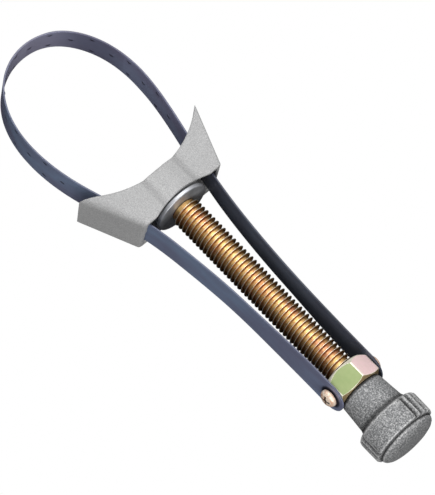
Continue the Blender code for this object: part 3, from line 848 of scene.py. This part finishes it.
def note_knob_shade_and_highlight(knob, face, end):
    """Painted shade in the valleys, seam, neck's foot and beside the knob's face; painted highlight
    on ribs and rims.
    """
    co = points(knob)
    x, last = (co[:, 0] + SHIFT) / MM, end / MM
    turn = from_panel(np.degrees(np.arctan2(co[:, 2], co[:, 1])))
    on_head = np.clip((x - 113.4) / 0.6, 0, 1) * np.clip((last - 3.6 - x) / 0.4, 0, 1)
    valleys = sum(hill(turn, PANEL_HALF + RIB_DEG * k, 3.4 if k else 4.4) for k in range(4))
    ribs = sum(hill(turn, PANEL_HALF + RIB_DEG * (k + 0.5), 2.6) for k in range(3))
    painted_shade = np.maximum.reduce([
        on_head * valleys,
        hill(x, at=last - 3.35, width=0.30),
        0.85 * hill(x, at=112.0, width=1.25),
        np.clip((face / MM + 1.2 - x) / 0.4, 0, 1),
    ])
    ridge = np.maximum.reduce([
        on_head * (hill(turn, at=PANEL_HALF - 4.0, width=1.2) + 0.95 * ribs),
        0.8 * hill(x, at=114.0, width=0.35),
        0.8 * hill(x, at=last - 4.0, width=0.25),
        0.35 * hill(x, at=last - 2.3, width=0.3),
    ])
    note(knob, "painted_shade", painted_shade)
    note(knob, "painted_highlight", np.clip(ridge * (1 - painted_shade), 0, 1))


def build_knob(material):
    """The knob: plain neck, ribbed head with two plain panels, a seam before the low dome."""
    face, end = span("knob")

    def radius(x, r, angle):
        if r < 11.9 * MM or not HEAD_X < x < end - HEAD_TO_END:
            return r
        rise = min(1.0, (x - HEAD_X) / HEAD_EASE, (end - HEAD_TO_END - x) / HEAD_EASE)
        turn = from_panel(math.degrees(angle))
        if turn < PANEL_HALF - 2.6:
            drop = PANEL_DROP * math.cos(math.radians(turn * 90 / PANEL_HALF))
        else:
            wave = 0.5 + 0.5 * math.cos(2 * math.pi * (turn - PANEL_HALF) / RIB_DEG)
            drop = RIB_DROP * wave**1.8
        return r - drop * smooth_step(rise)

    shape = turned(knob_profile(face, end), 720, radius)
    knob = new_mesh("knob_casting", *shape, sharp_angle=70)
    note_knob_shade_and_highlight(knob, face, end)
    knob.data.materials.append(material)
    hand_over(knob, "knob", body="spindle_body")


# ---------------------------------------------------------------- spindle

THREAD_X0, THREAD_TURNS = 0.8 * MM, 49
GROOVE_R, FLANK_R = 5.02 * MM, 5.6 * MM

# One pitch of the thread: share of the pitch, radius, painted shade
THREAD_PROFILE = [
    (0.0, GROOVE_R, 0.0), (0.23, GROOVE_R, 0.15), (0.32, GROOVE_R, 0.85),
    (0.395, FLANK_R, 0.7), (0.455, THREAD_R * 0.985, 0.0), (0.475, THREAD_R, 0.0),
    (0.525, THREAD_R, 0.0), (0.545, THREAD_R * 0.985, 0.0), (0.605, FLANK_R, 0.8),
    (0.68, GROOVE_R, 1.0), (0.78, GROOVE_R, 0.2),
]
# Journal with its clip groove, before the thread: (x, r), in mm
JOURNAL = [
    (-14.3, 0.6), (-14.3, 3.9), (-13.9, 4.4), (-13.75, 4.5), (-13.7, 3.6), (-12.35, 3.6),
    (-12.3, 4.5), (0.3, 4.5), (0.32, 5.15),
]


def build_spindle(material):
    """The threaded spindle, with flat crests and roots, its journal and its tail."""
    sides = 72
    steps = THREAD_TURNS * sides
    verts, faces, stain_and_shade = [], [], []

    def ring(x, r):
        first = len(verts)
        for i in range(sides):
            t = 2 * math.pi * i / sides
            verts.append((x, r * math.cos(t), r * math.sin(t)))
        return list(range(first, first + sides))

    # One helix per profile row; the first runs a turn longer, to close the last pitch.
    lines = []
    for row, (share, r, painted_shade) in enumerate(THREAD_PROFILE):
        count = steps + 1 + (sides if row == 0 else 0)
        first = len(verts)
        for j in range(count):
            t = 2 * math.pi * j / sides
            x = THREAD_X0 + PITCH * (share + j / sides)
            verts.append((x, r * math.cos(t), r * math.sin(t)))
            stain_and_shade.append(painted_shade)
        lines.append(list(range(first, first + count)))
    root = lines[0]
    lines.append(root[sides:])
    for a, b in zip(lines, lines[1:]):
        for j in range(steps):
            faces.append((a[j], a[j + 1], b[j + 1], b[j]))
    faces.append(tuple(line[0] for line in lines[::-1]))
    faces.append(tuple(line[steps] for line in lines))

    # The journal meets the first turn of the root.
    journal = [ring(x, r) for x, r in metres(JOURNAL)]
    last_ring = journal[-1]
    for i in range(sides):
        face = [last_ring[i], last_ring[(i + 1) % sides]]
        if i == sides - 1:
            face.append(root[0])
        faces.append((*face, root[i + 1], root[i]))

    # The tail, which the knob covers, meets its last turn.
    thread_end = (THREAD_X0 + (THREAD_TURNS + 1) * PITCH) / MM
    tail_profile = [(thread_end + 0.2, 5.15), (thread_end + 0.25, 5.0), (114.5, 5.0)]
    tail = [ring(x, r) for x, r in metres(tail_profile)]
    first_ring = tail[0]
    for i in range(sides):
        face = [root[steps + i], root[steps + i + 1]]
        face += [first_ring[(steps + i + 1) % sides], first_ring[(steps + i) % sides]]
        if i == 0:
            face.append(root[steps + sides])
        faces.append(tuple(face))
    for group in (journal, tail):
        for a, b in zip(group, group[1:]):
            for i in range(sides):
                j = (i + 1) % sides
                faces.append((a[i], a[j], b[j], b[i]))
    faces.append(tuple(journal[0]))
    faces.append(tuple(tail[-1]))

    rod = new_mesh("threaded_spindle", verts, faces, sharp_angle=26)
    plain = np.zeros(len(rod.data.vertices) - len(stain_and_shade))
    # Painted shade on the thread's roots and flanks, none on journal and tail
    note(rod, "painted_shade", np.concatenate([stain_and_shade, plain]))
    rod.data.materials.append(material)
    hand_over(rod, "spindle", body="spindle_body")


# ---------------------------------------------------------------- nut, screws, washer, clip

NUT_FACE_R = 9.05 * MM
NUT_BORE_R = 6.9 * MM


def nut_chamfer(corner):
    """The turned envelope that chamfers both ends: 45 degrees near the strap, 60 at X1."""
    slope = math.tan(math.radians(30))
    reach = corner + 0.3 * MM
    past = 0.2 * MM
    return [
        (NUT_X0 - past, 0),
        (NUT_X0 - past, NUT_FACE_R - past),
        (NUT_X0 + reach - NUT_FACE_R, reach),
        (NUT_X1 - (reach - NUT_FACE_R) * slope, reach),
        (NUT_X1 + past, NUT_FACE_R - past / slope),
        (NUT_X1 + past, 0),
    ]


def build_nut(flats, edge, inside):
    """The hexagonal nut, with broad rubbed edges in ivory (partly bare metal, partly painted
    highlight), a bore and countersunk ends.
    """
    materials = (flats, edge, inside)
    corner = NUT_ACROSS / math.sqrt(3)
    angles = [math.radians(30 + 60 * k) for k in range(6)]
    outline = [(corner * math.cos(a), corner * math.sin(a)) for a in angles]
    verts, faces = prism(outline, NUT_X0, NUT_X1, axis=0)
    nut = new_mesh("hexagon_nut", spun(verts, NUT_TURN), faces)
    for material in materials:
        nut.data.materials.append(material)
    bevel_edges(nut, width=0.40 * MM, segments=3, degrees=45, material=1)

    middle_x = (NUT_X0 + NUT_X1) / 2
    envelope = turned(nut_chamfer(corner), 180)
    cut(nut, envelope, "INTERSECT", materials, lambda x: 1 if x < middle_x else 0)
    bevel_edges(nut, width=0.42 * MM, segments=3, degrees=14, material=1)

    bore = cylinder(NUT_X0 - 2 * MM, NUT_X1 + 2 * MM, NUT_BORE_R, 120)
    cut(nut, bore, materials=materials, material_at=lambda x: 2)
    for x, away in ((NUT_X0, -1), (NUT_X1, 1)):
        deep, proud = x - away * 1.3 * MM, x + away * 1.0 * MM
        sink = [(deep, 0), (deep, ROOT_R), (proud, THREAD_R + 1.68 * MM), (proud, 0)]
        cut(nut, turned(sink, 120), materials=materials, material_at=lambda x: 2)
    shade_by_angle(nut, 18)
    hand_over(nut, "hex_nut", body="nut_body")


SCREW_SEAT = NUT_ACROSS / 2 + STRAP_GAP + STRAP_T + STRAP_GAP  # underside of the head
CROSS_ARM, CROSS_HALF = 2.2 * MM, 0.5 * MM
CROSS_TURN = math.radians(20)

# Shank: (distance from the spindle's axis, r); head: (distance above the seat, r); in mm
SHANK_PROFILE = [(7.3, 0.0), (7.3, 1.3), (7.7, 1.6)]
HEAD_PROFILE = [
    (0, 1.6), (0, 3.6), (1.0, 3.6), (1.7, 3.3), (2.3, 2.5), (2.6, 1.4), (2.65, 0.0),
]


def cross_recess(side):
    """The prism that cuts the screw's cross, turned in the head."""
    arm, half = CROSS_ARM, CROSS_HALF
    outline = [
        (arm, -half), (arm, half), (half, half), (half, arm), (-half, arm), (-half, half),
        (-arm, half), (-arm, -half), (-half, -half), (-half, -arm), (half, -arm), (half, -half),
    ]
    c, s = math.cos(CROSS_TURN), math.sin(CROSS_TURN)
    outline = [(SCREW_X + (a * c - b * s), a * s + b * c) for a, b in outline]
    low, high = sorted((side * (SCREW_SEAT + 1.15 * MM), side * (SCREW_SEAT + 4.0 * MM)))
    verts, faces = prism(outline, low, high, axis=1)
    return spun(verts, NUT_TURN), faces


def build_screw(side, name, material):
    """A pan-head screw with a deep cross recess and a rounded edge."""
    seat = SCREW_SEAT / MM
    profile = SHANK_PROFILE + [(seat + above, r) for above, r in HEAD_PROFILE]
    shape = turned(metres(rounded(profile, 0.3, 4)), 96)
    screw = new_mesh(f"{name}_fine", *on_screw_axis(shape, side))
    cut(screw, cross_recess(side))
    # Painted shade inside the cross recess
    away, along = about_screw(points(screw))
    in_recess = (away < CROSS_ARM * 1.1) & (side * along < SCREW_SEAT + 1.3 * MM)
    note(screw, "painted_shade", np.where(in_recess, 1.0, 0.0))
    shade_by_angle(screw, 32)
    screw.data.materials.append(material)
    hand_over(screw, name, body="nut_body")


def build_washer(material):
    """The thrust washer, its outer edges rounded."""
    inner, outer = 5.0 * MM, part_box("thrust_washer")[1].y
    x0, x1 = span("thrust_washer")
    profile = rounded([(x0, inner), (x0, outer), (x1, outer), (x1, inner)], 0.55 * MM, 8)
    washer = new_mesh("thrust_washer_fine", *turned_ring(profile, 192), sharp_angle=40)
    washer.data.materials.append(material)
    hand_over(washer, "thrust_washer", body="saddle_body")


def build_clip(material):
    """The open retaining ring in the counterbore."""
    inner, outer = 3.95 * MM, 6.4 * MM
    angles = [math.radians(30 + 5 * k) for k in range(61)]
    outline = [(outer * math.cos(t), outer * math.sin(t)) for t in angles]
    outline += [(inner * math.cos(t), inner * math.sin(t)) for t in angles[::-1]]
    shape = prism(outline, *span("retaining_clip"), axis=0)
    ring = new_mesh("retaining_ring", *shape, sharp_angle=30)
    bevel_edges(ring, width=0.12 * MM, segments=2, degrees=40)
    ring.data.materials.append(material)
    hand_over(ring, "retaining_clip", body="spindle_body")


# ---------------------------------------------------------------- strap

def smooth_curve(stations, steps):
    """A natural cubic spline through stations, spaced by chord: positions and unit tangents."""
    p = np.array(stations, float)
    t = np.concatenate([[0], np.cumsum(np.linalg.norm(np.diff(p, axis=0), axis=1))])
    h, n = np.diff(t), len(p)
    system, rhs = np.eye(n), np.zeros_like(p)
    for i in range(1, n - 1):
        system[i, i - 1 : i + 2] = h[i - 1], 2 * (h[i - 1] + h[i]), h[i]
        rhs[i] = 6 * ((p[i + 1] - p[i]) / h[i] - (p[i] - p[i - 1]) / h[i - 1])
    bend = np.linalg.solve(system, rhs)
    s = np.linspace(0, t[-1], steps)
    k = np.clip(np.searchsorted(t, s, side="right") - 1, 0, n - 2)
    u, v, w = (t[k + 1] - s)[:, None], (s - t[k])[:, None], h[k][:, None]
    bend0, bend1 = bend[k], bend[k + 1]
    line0, line1 = p[k] / w - bend0 * w / 6, p[k + 1] / w - bend1 * w / 6
    position = (bend0 * u**3 + bend1 * v**3) / (6 * w) + line0 * u + line1 * v
    tangent = (-bend0 * u**2 + bend1 * v**2) / (2 * w) - line0 + line1
    return position, tangent / np.linalg.norm(tangent, axis=1)[:, None]


# Middle of the strap's thickness: (x, y), in mm, from the right end round the tip to the left
FLAT = (NUT_ACROSS / 2 + STRAP_GAP + STRAP_T / 2) / MM
STRAP_LINE = [
    (101, FLAT), (84, FLAT), (62, 10.5), (40, 11.4), (20, 13.0), (5, 14.9), (-12, 18.1),
    (-33, 22.6), (-51.5, 24.95), (-66, 23.8), (-79.6, 18.2), (-87.65, 9.95),
    (-90.3, -2.0),
    (-87.7, -12.0), (-79.45, -22.1), (-66, -28.4), (-51, -29.8), (-30.5, -26.3),
    (-12, -20.1), (5, -15.8), (20, -13.6), (40, -11.5), (62, -10.6), (84, -FLAT), (101, -FLAT),
]
POS, TAN = smooth_curve(np.array(STRAP_LINE) * MM, 9000)
RUN = np.concatenate([[0], np.cumsum(np.linalg.norm(np.diff(POS, axis=0), axis=1))])
TIP = int(np.argmin(POS[:, 0]))

# Outward lean: run along the strap in mm, and share of STRAP_FLARE
FLARE_RUNS, FLARE_SHARES = (155, 200, 224, 256), (0, 1, 0.3, 0)

# Pressed marks as (run, z): single ones, and pairs about halfway between them
MARK_PITCH = 17.45 * MM
MARKS = [(134.8 * MM + MARK_PITCH * k, 0.3 * MM) for k in range(9)]
MARKS += [(143.5 * MM + MARK_PITCH * k, z) for k in range(8) for z in (4.9 * MM, -4.3 * MM)]
MARK_HALF = (1.25 * MM, 0.62 * MM)  # half length and half height of the hollow
MARK_DEPTH = 0.42 * MM
MARK_SHADE_AND_HIGHLIGHT_HALF = (1.35 * MM, 0.72 * MM)  # the same for its painted shade and painted highlight

EDGE_REACH = 0.22 * MM  # how far the rounding of the strip's edges reaches in


def run_at(x, side):
    """The run along the strap at which its left (-1) or right (1) side passes x."""
    if side > 0:
        return float(np.interp(-x, -POS[: TIP + 1, 0], RUN[: TIP + 1]))
    return float(np.interp(x, POS[TIP:, 0], RUN[TIP:]))


def strap_point(s, z, off):
    """Points of the strap: s along it, z up it, off outwards from its centre; all arrays."""
    x, y = np.interp(s, RUN, POS[:, 0]), np.interp(s, RUN, POS[:, 1])
    dx, dy = np.interp(s, RUN, TAN[:, 0]), np.interp(s, RUN, TAN[:, 1])
    size = np.hypot(dx, dy)
    # Towards the nut the strap takes up the nut's turn.
    twist = NUT_TURN * smooth_step(np.clip((x - 45 * MM) / (40 * MM), 0, 1))
    flare = STRAP_FLARE * np.interp(s / MM, FLARE_RUNS, FLARE_SHARES)
    out = off - z / (STRAP_W / 2) * flare
    px, py = x + out * dy / size, y - out * dx / size
    c, sn = np.cos(twist), np.sin(twist)
    return np.stack([px, py * c - z * sn, py * sn + z * c], -1)


def mark_distance(s, z):
    """Distance from the nearest mark: 0 in its middle, 1 on its rim, more outside."""
    nearest = np.full_like(s, 9.0)
    for at, high in MARKS:
        away = np.hypot((s - at) / MARK_SHADE_AND_HIGHLIGHT_HALF[0], (z - high) / MARK_SHADE_AND_HIGHLIGHT_HALF[1])
        nearest = np.minimum(nearest, away)
    return nearest


def press(s, z):
    """How far the strip is pressed inwards at (s, z) by the small oval marks."""
    depth = np.zeros_like(s)
    for at, high in MARKS:
        u, v = (s - at) / MARK_HALF[0], (z - high) / MARK_HALF[1]
        depth += MARK_DEPTH * np.clip(1 - (u * u + v * v), 0, 1) ** 1.2
    return depth


def strip_section():
    """The strip's cross-section with rounded edges: arrays of z and outward offset."""
    half, thick = STRAP_W / 2, STRAP_T / 2
    inner = half - EDGE_REACH
    levels = np.linspace(-inner, inner, 46)
    full = math.sin(math.radians(72))
    edge = []
    for degrees in (-60, -30, 0, 30, 60):
        a = math.radians(degrees)
        edge.append((inner + EDGE_REACH * math.cos(a), thick * math.sin(a) / full))
    loop = [(z, -thick) for z in levels] + edge
    loop += [(z, thick) for z in levels[::-1]] + [(-z, -off) for z, off in edge]
    return np.array(loop).T


def strap_piece(name, ends, material, leg_side=0):
    """A length of strap between two runs, as one closed strip.

    leg_side 0 is a length with pressed marks. A plain leg, on the right (1) or left (-1),
    has a rounded end at its first or last run.
    """
    start, end = sorted(ends)
    step = 0.32 * MM
    half = STRAP_W / 2
    runs = np.linspace(start, end, max(8, int(abs(end - start) / step)))
    zs, offs = strip_section()
    count = len(zs)
    rows, marks = [], []
    for s in runs:
        s_row = np.full(count, s)
        if leg_side:
            into = abs(s - (start if leg_side > 0 else end))
            scale = 1.0
            if into < half:
                scale = max(0.05, math.sqrt(max(0.0, half * half - (half - into) ** 2)) / half)
            rows.append(strap_point(s_row, zs * scale, offs))
            marks.append(np.full(count, 9.0))
        else:
            rows.append(strap_point(s_row, zs, offs - press(s_row, zs)))
            marks.append(mark_distance(s_row, zs))
    faces = []
    for i in range(len(runs) - 1):
        a, b = i * count, (i + 1) * count
        for k in range(count):
            m = (k + 1) % count
            faces.append((a + k, a + m, b + m, b + k))
    last = (len(runs) - 1) * count
    faces += [tuple(range(count))[::-1], tuple(range(last, last + count))]
    obj = new_mesh(name, np.concatenate(rows), faces, sharp_angle=50)
    note(obj, "mark", np.concatenate(marks))
    obj.data.materials.append(material)
    return obj


def share_motion(obj, weight):
    """Bakes the piece's transform and works out each point's share from weight(co); the shares are
    not used.
    """
    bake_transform(obj)
    values = weight(points(obj)).astype(np.float32)


def nearest_run(co, side):
    """The run along the strap of each point, from its X and Y, on one side of the tip."""
    keep = slice(0, TIP + 1) if side > 0 else slice(TIP, len(RUN))
    line, runs = POS[keep][::6], RUN[keep][::6]
    out = np.zeros(len(co))
    for i in range(0, len(co), 4000):
        block = co[i : i + 4000, :2] + np.array([SHIFT, 0.0])
        gaps = ((block[:, None, :] - line[None]) ** 2).sum(-1)
        out[i : i + 4000] = runs[np.argmin(gaps, 1)]
    return out


def build_leg(side, name, ends, material):
    """The leg from nut to slot, drilled for its screw and dark about the head."""
    leg = strap_piece(f"strip_leg_{name}", ends, material, leg_side=side)
    cut(leg, on_screw_axis(cylinder(6 * MM, 16 * MM, 1.95 * MM, 48), side))
    away = about_screw(points(leg))[0] / MM
    note(leg, "shade", 0.95 * np.clip((5.1 - away) / 0.7, 0, 1))
    shade_by_angle(leg, 50)
    hand_over(leg, f"strap_leg_{name}")
    rigid = row_x(91.5)  # from here to its end the leg's share is 0
    length = rigid - (SLOT_X - SHIFT)
    share_motion(
        leg, lambda co: np.clip((rigid - co[:, 0]) / length, 0, 1)
    )


def build_flank(side, name, ends, material):
    """The flank from slot to crown; its share is worked out, rising from where it leaves the saddle.
    """
    piece = strap_piece(f"strip_flank_{name}", ends, material)
    hand_over(piece, f"strap_flank_{name}")
    leave, flank = run_at(-25.0 * MM, side), ends[1]

    def share(co):
        u = np.clip((nearest_run(co, side) - leave) / (flank - leave), 0, 1)
        return np.sin(u * math.pi / 2)

    share_motion(piece, share)


def build_crown(side, name, ends, material):
    """Half the crown, from flank to tip."""
    piece = strap_piece(f"strip_crown_{name}", ends, material)
    hand_over(piece, f"strap_crown_{name}")
    flank, tip = ends

    def share(co):
        return smooth_step(np.clip((nearest_run(co, side) - flank) / (tip - flank), 0, 1))

    share_motion(piece, share)


def build_strap(materials):
    """Six lengths that meet without a gap."""
    for side, name in ((1, "right"), (-1, "left")):
        end, slot, flank = (run_at(x, side) for x in (STRAP_END_X, SLOT_X, FLANK_X))
        build_leg(side, name, (end, slot), materials[f"leg_{name}"])
        build_flank(side, name, (slot, flank), materials[f"flank_{name}"])
        build_crown(side, name, (flank, RUN[TIP]), materials[f"crown_{name}"])


# ---------------------------------------------------------------- build

saddle_grey = cast_metal(
    "blasted_casting",
    dark=srgb(142, 142, 142), mid=srgb(168, 168, 168), light=srgb(194, 194, 193),
    grain=0.42 * MM, contrast=1.1, rough=0.62, metal=0.12, bump_depth=0.06 * MM,
)
knob_grey = cast_metal(
    "rough_casting",
    dark=srgb(78, 79, 80), mid=srgb(127, 128, 129), light=srgb(198, 198, 197),
    grain=0.60 * MM, contrast=1.35, rough=0.58, metal=0.15, bump_depth=0.09 * MM,
)
# Shades of blued steel: dark, middle, light
slate = [srgb(124, 125, 151), srgb(130, 138, 166), srgb(137, 154, 184)]
indigo = [srgb(130, 127, 155), srgb(137, 138, 166), srgb(142, 150, 178)]
# deep is a darker copy of the blued steel for the right leg: painted shade
deep = [srgb(68, 70, 84), srgb(80, 85, 100), srgb(90, 98, 114)]
strap_materials = {
    "leg_left": blued_strip("blued_leg_left", slate),
    "leg_right": blued_strip("blued_leg_right", deep),
    "flank_left": blued_strip("blued_flank_left", slate),
    "flank_right": blued_strip("blued_flank_right", indigo),
    "crown_left": blued_strip("blued_crown_left", slate, tip_highlight=0.75),
    "crown_right": blued_strip("blued_crown_right", indigo, tip_highlight=0.5, dark_band=True),
}

build_saddle(saddle_grey)
build_knob(knob_grey)
build_spindle(zinc_thread())
build_nut(zinc_nut(), bright_edge(), nut_hole())
screw_material = screw_zinc()
build_screw(1, "strap_screw_right", screw_material)
build_screw(-1, "strap_screw_left", screw_material)
build_washer(turned_steel(
    "washer_steel", light=srgb(206, 208, 212), dark=srgb(150, 152, 156), metal=0.6, rough=0.36
))
build_clip(turned_steel(
    "clip_steel", light=srgb(84, 84, 88), dark=srgb(48, 48, 52), metal=0.9, rough=0.4
))
build_strap(strap_materials)


# ---------------------------------------------------------------- studio

def floor_material():
    """Pale and matt to light, pure white to the camera."""
    n = Nodes("pale_floor")
    n.surface(colour=(0.93, 0.93, 0.93), rough=0.9, spec=0.1)
    sight = n.tree.nodes.new("ShaderNodeLightPath")
    plain = n.tree.nodes.new("ShaderNodeEmission")
    plain.inputs["Color"].default_value = (1.0, 1.0, 1.0, 1.0)
    plain.inputs["Strength"].default_value = 1.0
    blend = n.tree.nodes.new("ShaderNodeMixShader")
    n.put(blend.inputs[0], sight.outputs["Is Camera Ray"])
    n.put(blend.inputs[1], n.bsdf.outputs[0])
    n.put(blend.inputs[2], plain.outputs[0])
    output = [node for node in n.tree.nodes if node.type == "OUTPUT_MATERIAL"][0]
    n.put(output.inputs["Surface"], blend.outputs[0])
    return n.mat


def build_floor(half_size, drop):
    """A square floor, drop below the product's lowest point."""
    material = floor_material()
    z = cad_low.z - drop
    corners = [(-1, -1), (1, -1), (1, 1), (-1, 1)]
    mesh = bpy.data.meshes.new("floor")
    verts = [(half_size * x, half_size * y, z) for x, y in corners]
    mesh.from_pydata(verts, [], [(0, 1, 2, 3)])
    mesh.materials.append(material)
    floor = bpy.data.objects.new("floor", mesh)
    bpy.context.scene.collection.objects.link(floor)
    floor.visible_glossy = False
    floor.visible_diffuse = False


def build_world():
    """A sky lighter overhead, shaded for reflections, and plain white to the camera."""
    strength_level = 0.9
    # Height from straight down (0) to straight up (1), and grey level
    sky_levels = [(0.0, 0.12), (0.50, 0.14), (0.60, 0.34), (0.74, 0.85), (1.0, 1.05)]
    world = bpy.data.worlds.new("studio")
    bpy.context.scene.world = world
    world.use_nodes = True
    tree = world.node_tree
    add, link = tree.nodes.new, tree.links.new
    background = tree.nodes["Background"]

    coord = add("ShaderNodeTexCoord")
    split = add("ShaderNodeSeparateXYZ")
    link(coord.outputs["Generated"], split.inputs[0])
    height = add("ShaderNodeMapRange")
    height.inputs["From Min"].default_value = -1.0
    height.inputs["From Max"].default_value = 1.0
    link(split.outputs["Z"], height.inputs["Value"])
    sky = add("ShaderNodeValToRGB")
    fill_ramp(sky, [(at, (level, level, level * 1.01)) for at, level in sky_levels])
    link(height.outputs[0], sky.inputs[0])
    link(sky.outputs[0], background.inputs["Color"])
    background.inputs["Strength"].default_value = strength_level

    # Reflections see a sky that dims downwards and towards -Y.
    sight = add("ShaderNodeLightPath")
    side_on = add("ShaderNodeMath")
    side_on.operation = "MULTIPLY_ADD"
    side_on.inputs[1].default_value = 0.6
    link(split.outputs["Y"], side_on.inputs[0])
    link(split.outputs["Z"], side_on.inputs[2])
    flag = add("ShaderNodeMapRange")
    # Value, from min, from max, to min, to max
    for socket, value in zip(flag.inputs, (0.0, -0.08, 0.36, 0.05, 1.15)):
        socket.default_value = value
    link(side_on.outputs[0], flag.inputs[0])
    seen = add("ShaderNodeMix")
    link(sight.outputs["Is Glossy Ray"], seen.inputs[0])
    seen.inputs[2].default_value = 1.0
    link(flag.outputs[0], seen.inputs[3])
    strength = add("ShaderNodeMath")
    strength.operation = "MULTIPLY"
    strength.inputs[0].default_value = strength_level
    link(seen.outputs[0], strength.inputs[1])
    link(strength.outputs[0], background.inputs["Strength"])

    white = add("ShaderNodeBackground")
    white.inputs["Color"].default_value = (1, 1, 1, 1)
    white.inputs["Strength"].default_value = 1.0
    both = add("ShaderNodeMixShader")
    link(sight.outputs["Is Camera Ray"], both.inputs[0])
    link(background.outputs[0], both.inputs[1])
    link(white.outputs[0], both.inputs[2])
    link(both.outputs[0], tree.nodes["World Output"].inputs["Surface"])


def softbox(name, at, aim, size, power):
    """A square area light, in metres and watts."""
    lamp = bpy.data.lights.new(name, "AREA")
    lamp.shape = "RECTANGLE"
    lamp.size = size
    lamp.size_y = size
    lamp.energy = power
    lamp_obj = bpy.data.objects.new(name, lamp)
    bpy.context.scene.collection.objects.link(lamp_obj)
    lamp_obj.location = at
    direction = Vector(aim) - Vector(at)
    lamp_obj.rotation_euler = direction.to_track_quat("-Z", "Y").to_euler()


def build_camera():
    """A long lens looking down on the wrench, rolled so that it lies across the view."""
    right = Vector((0.66905057, 0.73800142, 0.08789339))
    up = Vector((-0.6882597, 0.5705995, 0.44801205))
    back = Vector((0.2804816, -0.3602362, 0.88969655))
    aim = Vector((0.02091494 - SHIFT, -0.00099373, 0.0))
    distance = 1.30
    lens = bpy.data.cameras.new("camera")
    lens.lens = 249.6
    lens.sensor_width = 36.0
    lens.clip_end = 20.0
    camera = bpy.data.objects.new("camera", lens)
    bpy.context.scene.collection.objects.link(camera)
    placed = Matrix((right, up, back)).transposed().to_4x4()
    placed.translation = aim + back * distance
    camera.matrix_world = placed
    bpy.context.scene.camera = camera


build_floor(half_size=3.0, drop=0.12)
build_world()
middle = (cad_low + cad_high) / 2
key_at = (middle.x - 0.25, middle.y + 0.15, 0.75)
fill_at = (middle.x + 0.7, middle.y - 0.75, 0.55)
end_at = (cad_high.x + 0.55, -0.30, 0.22)
softbox("key", at=key_at, aim=middle, size=0.55, power=2.6)
softbox("fill", at=fill_at, aim=middle, size=0.6, power=3.1)
softbox("end", at=end_at, aim=(cad_high.x, 0.0, 0.0), size=0.35, power=1.6)
build_camera()
bpy.context.scene.view_settings.view_transform = "Standard"

bpy.context.view_layer.update()
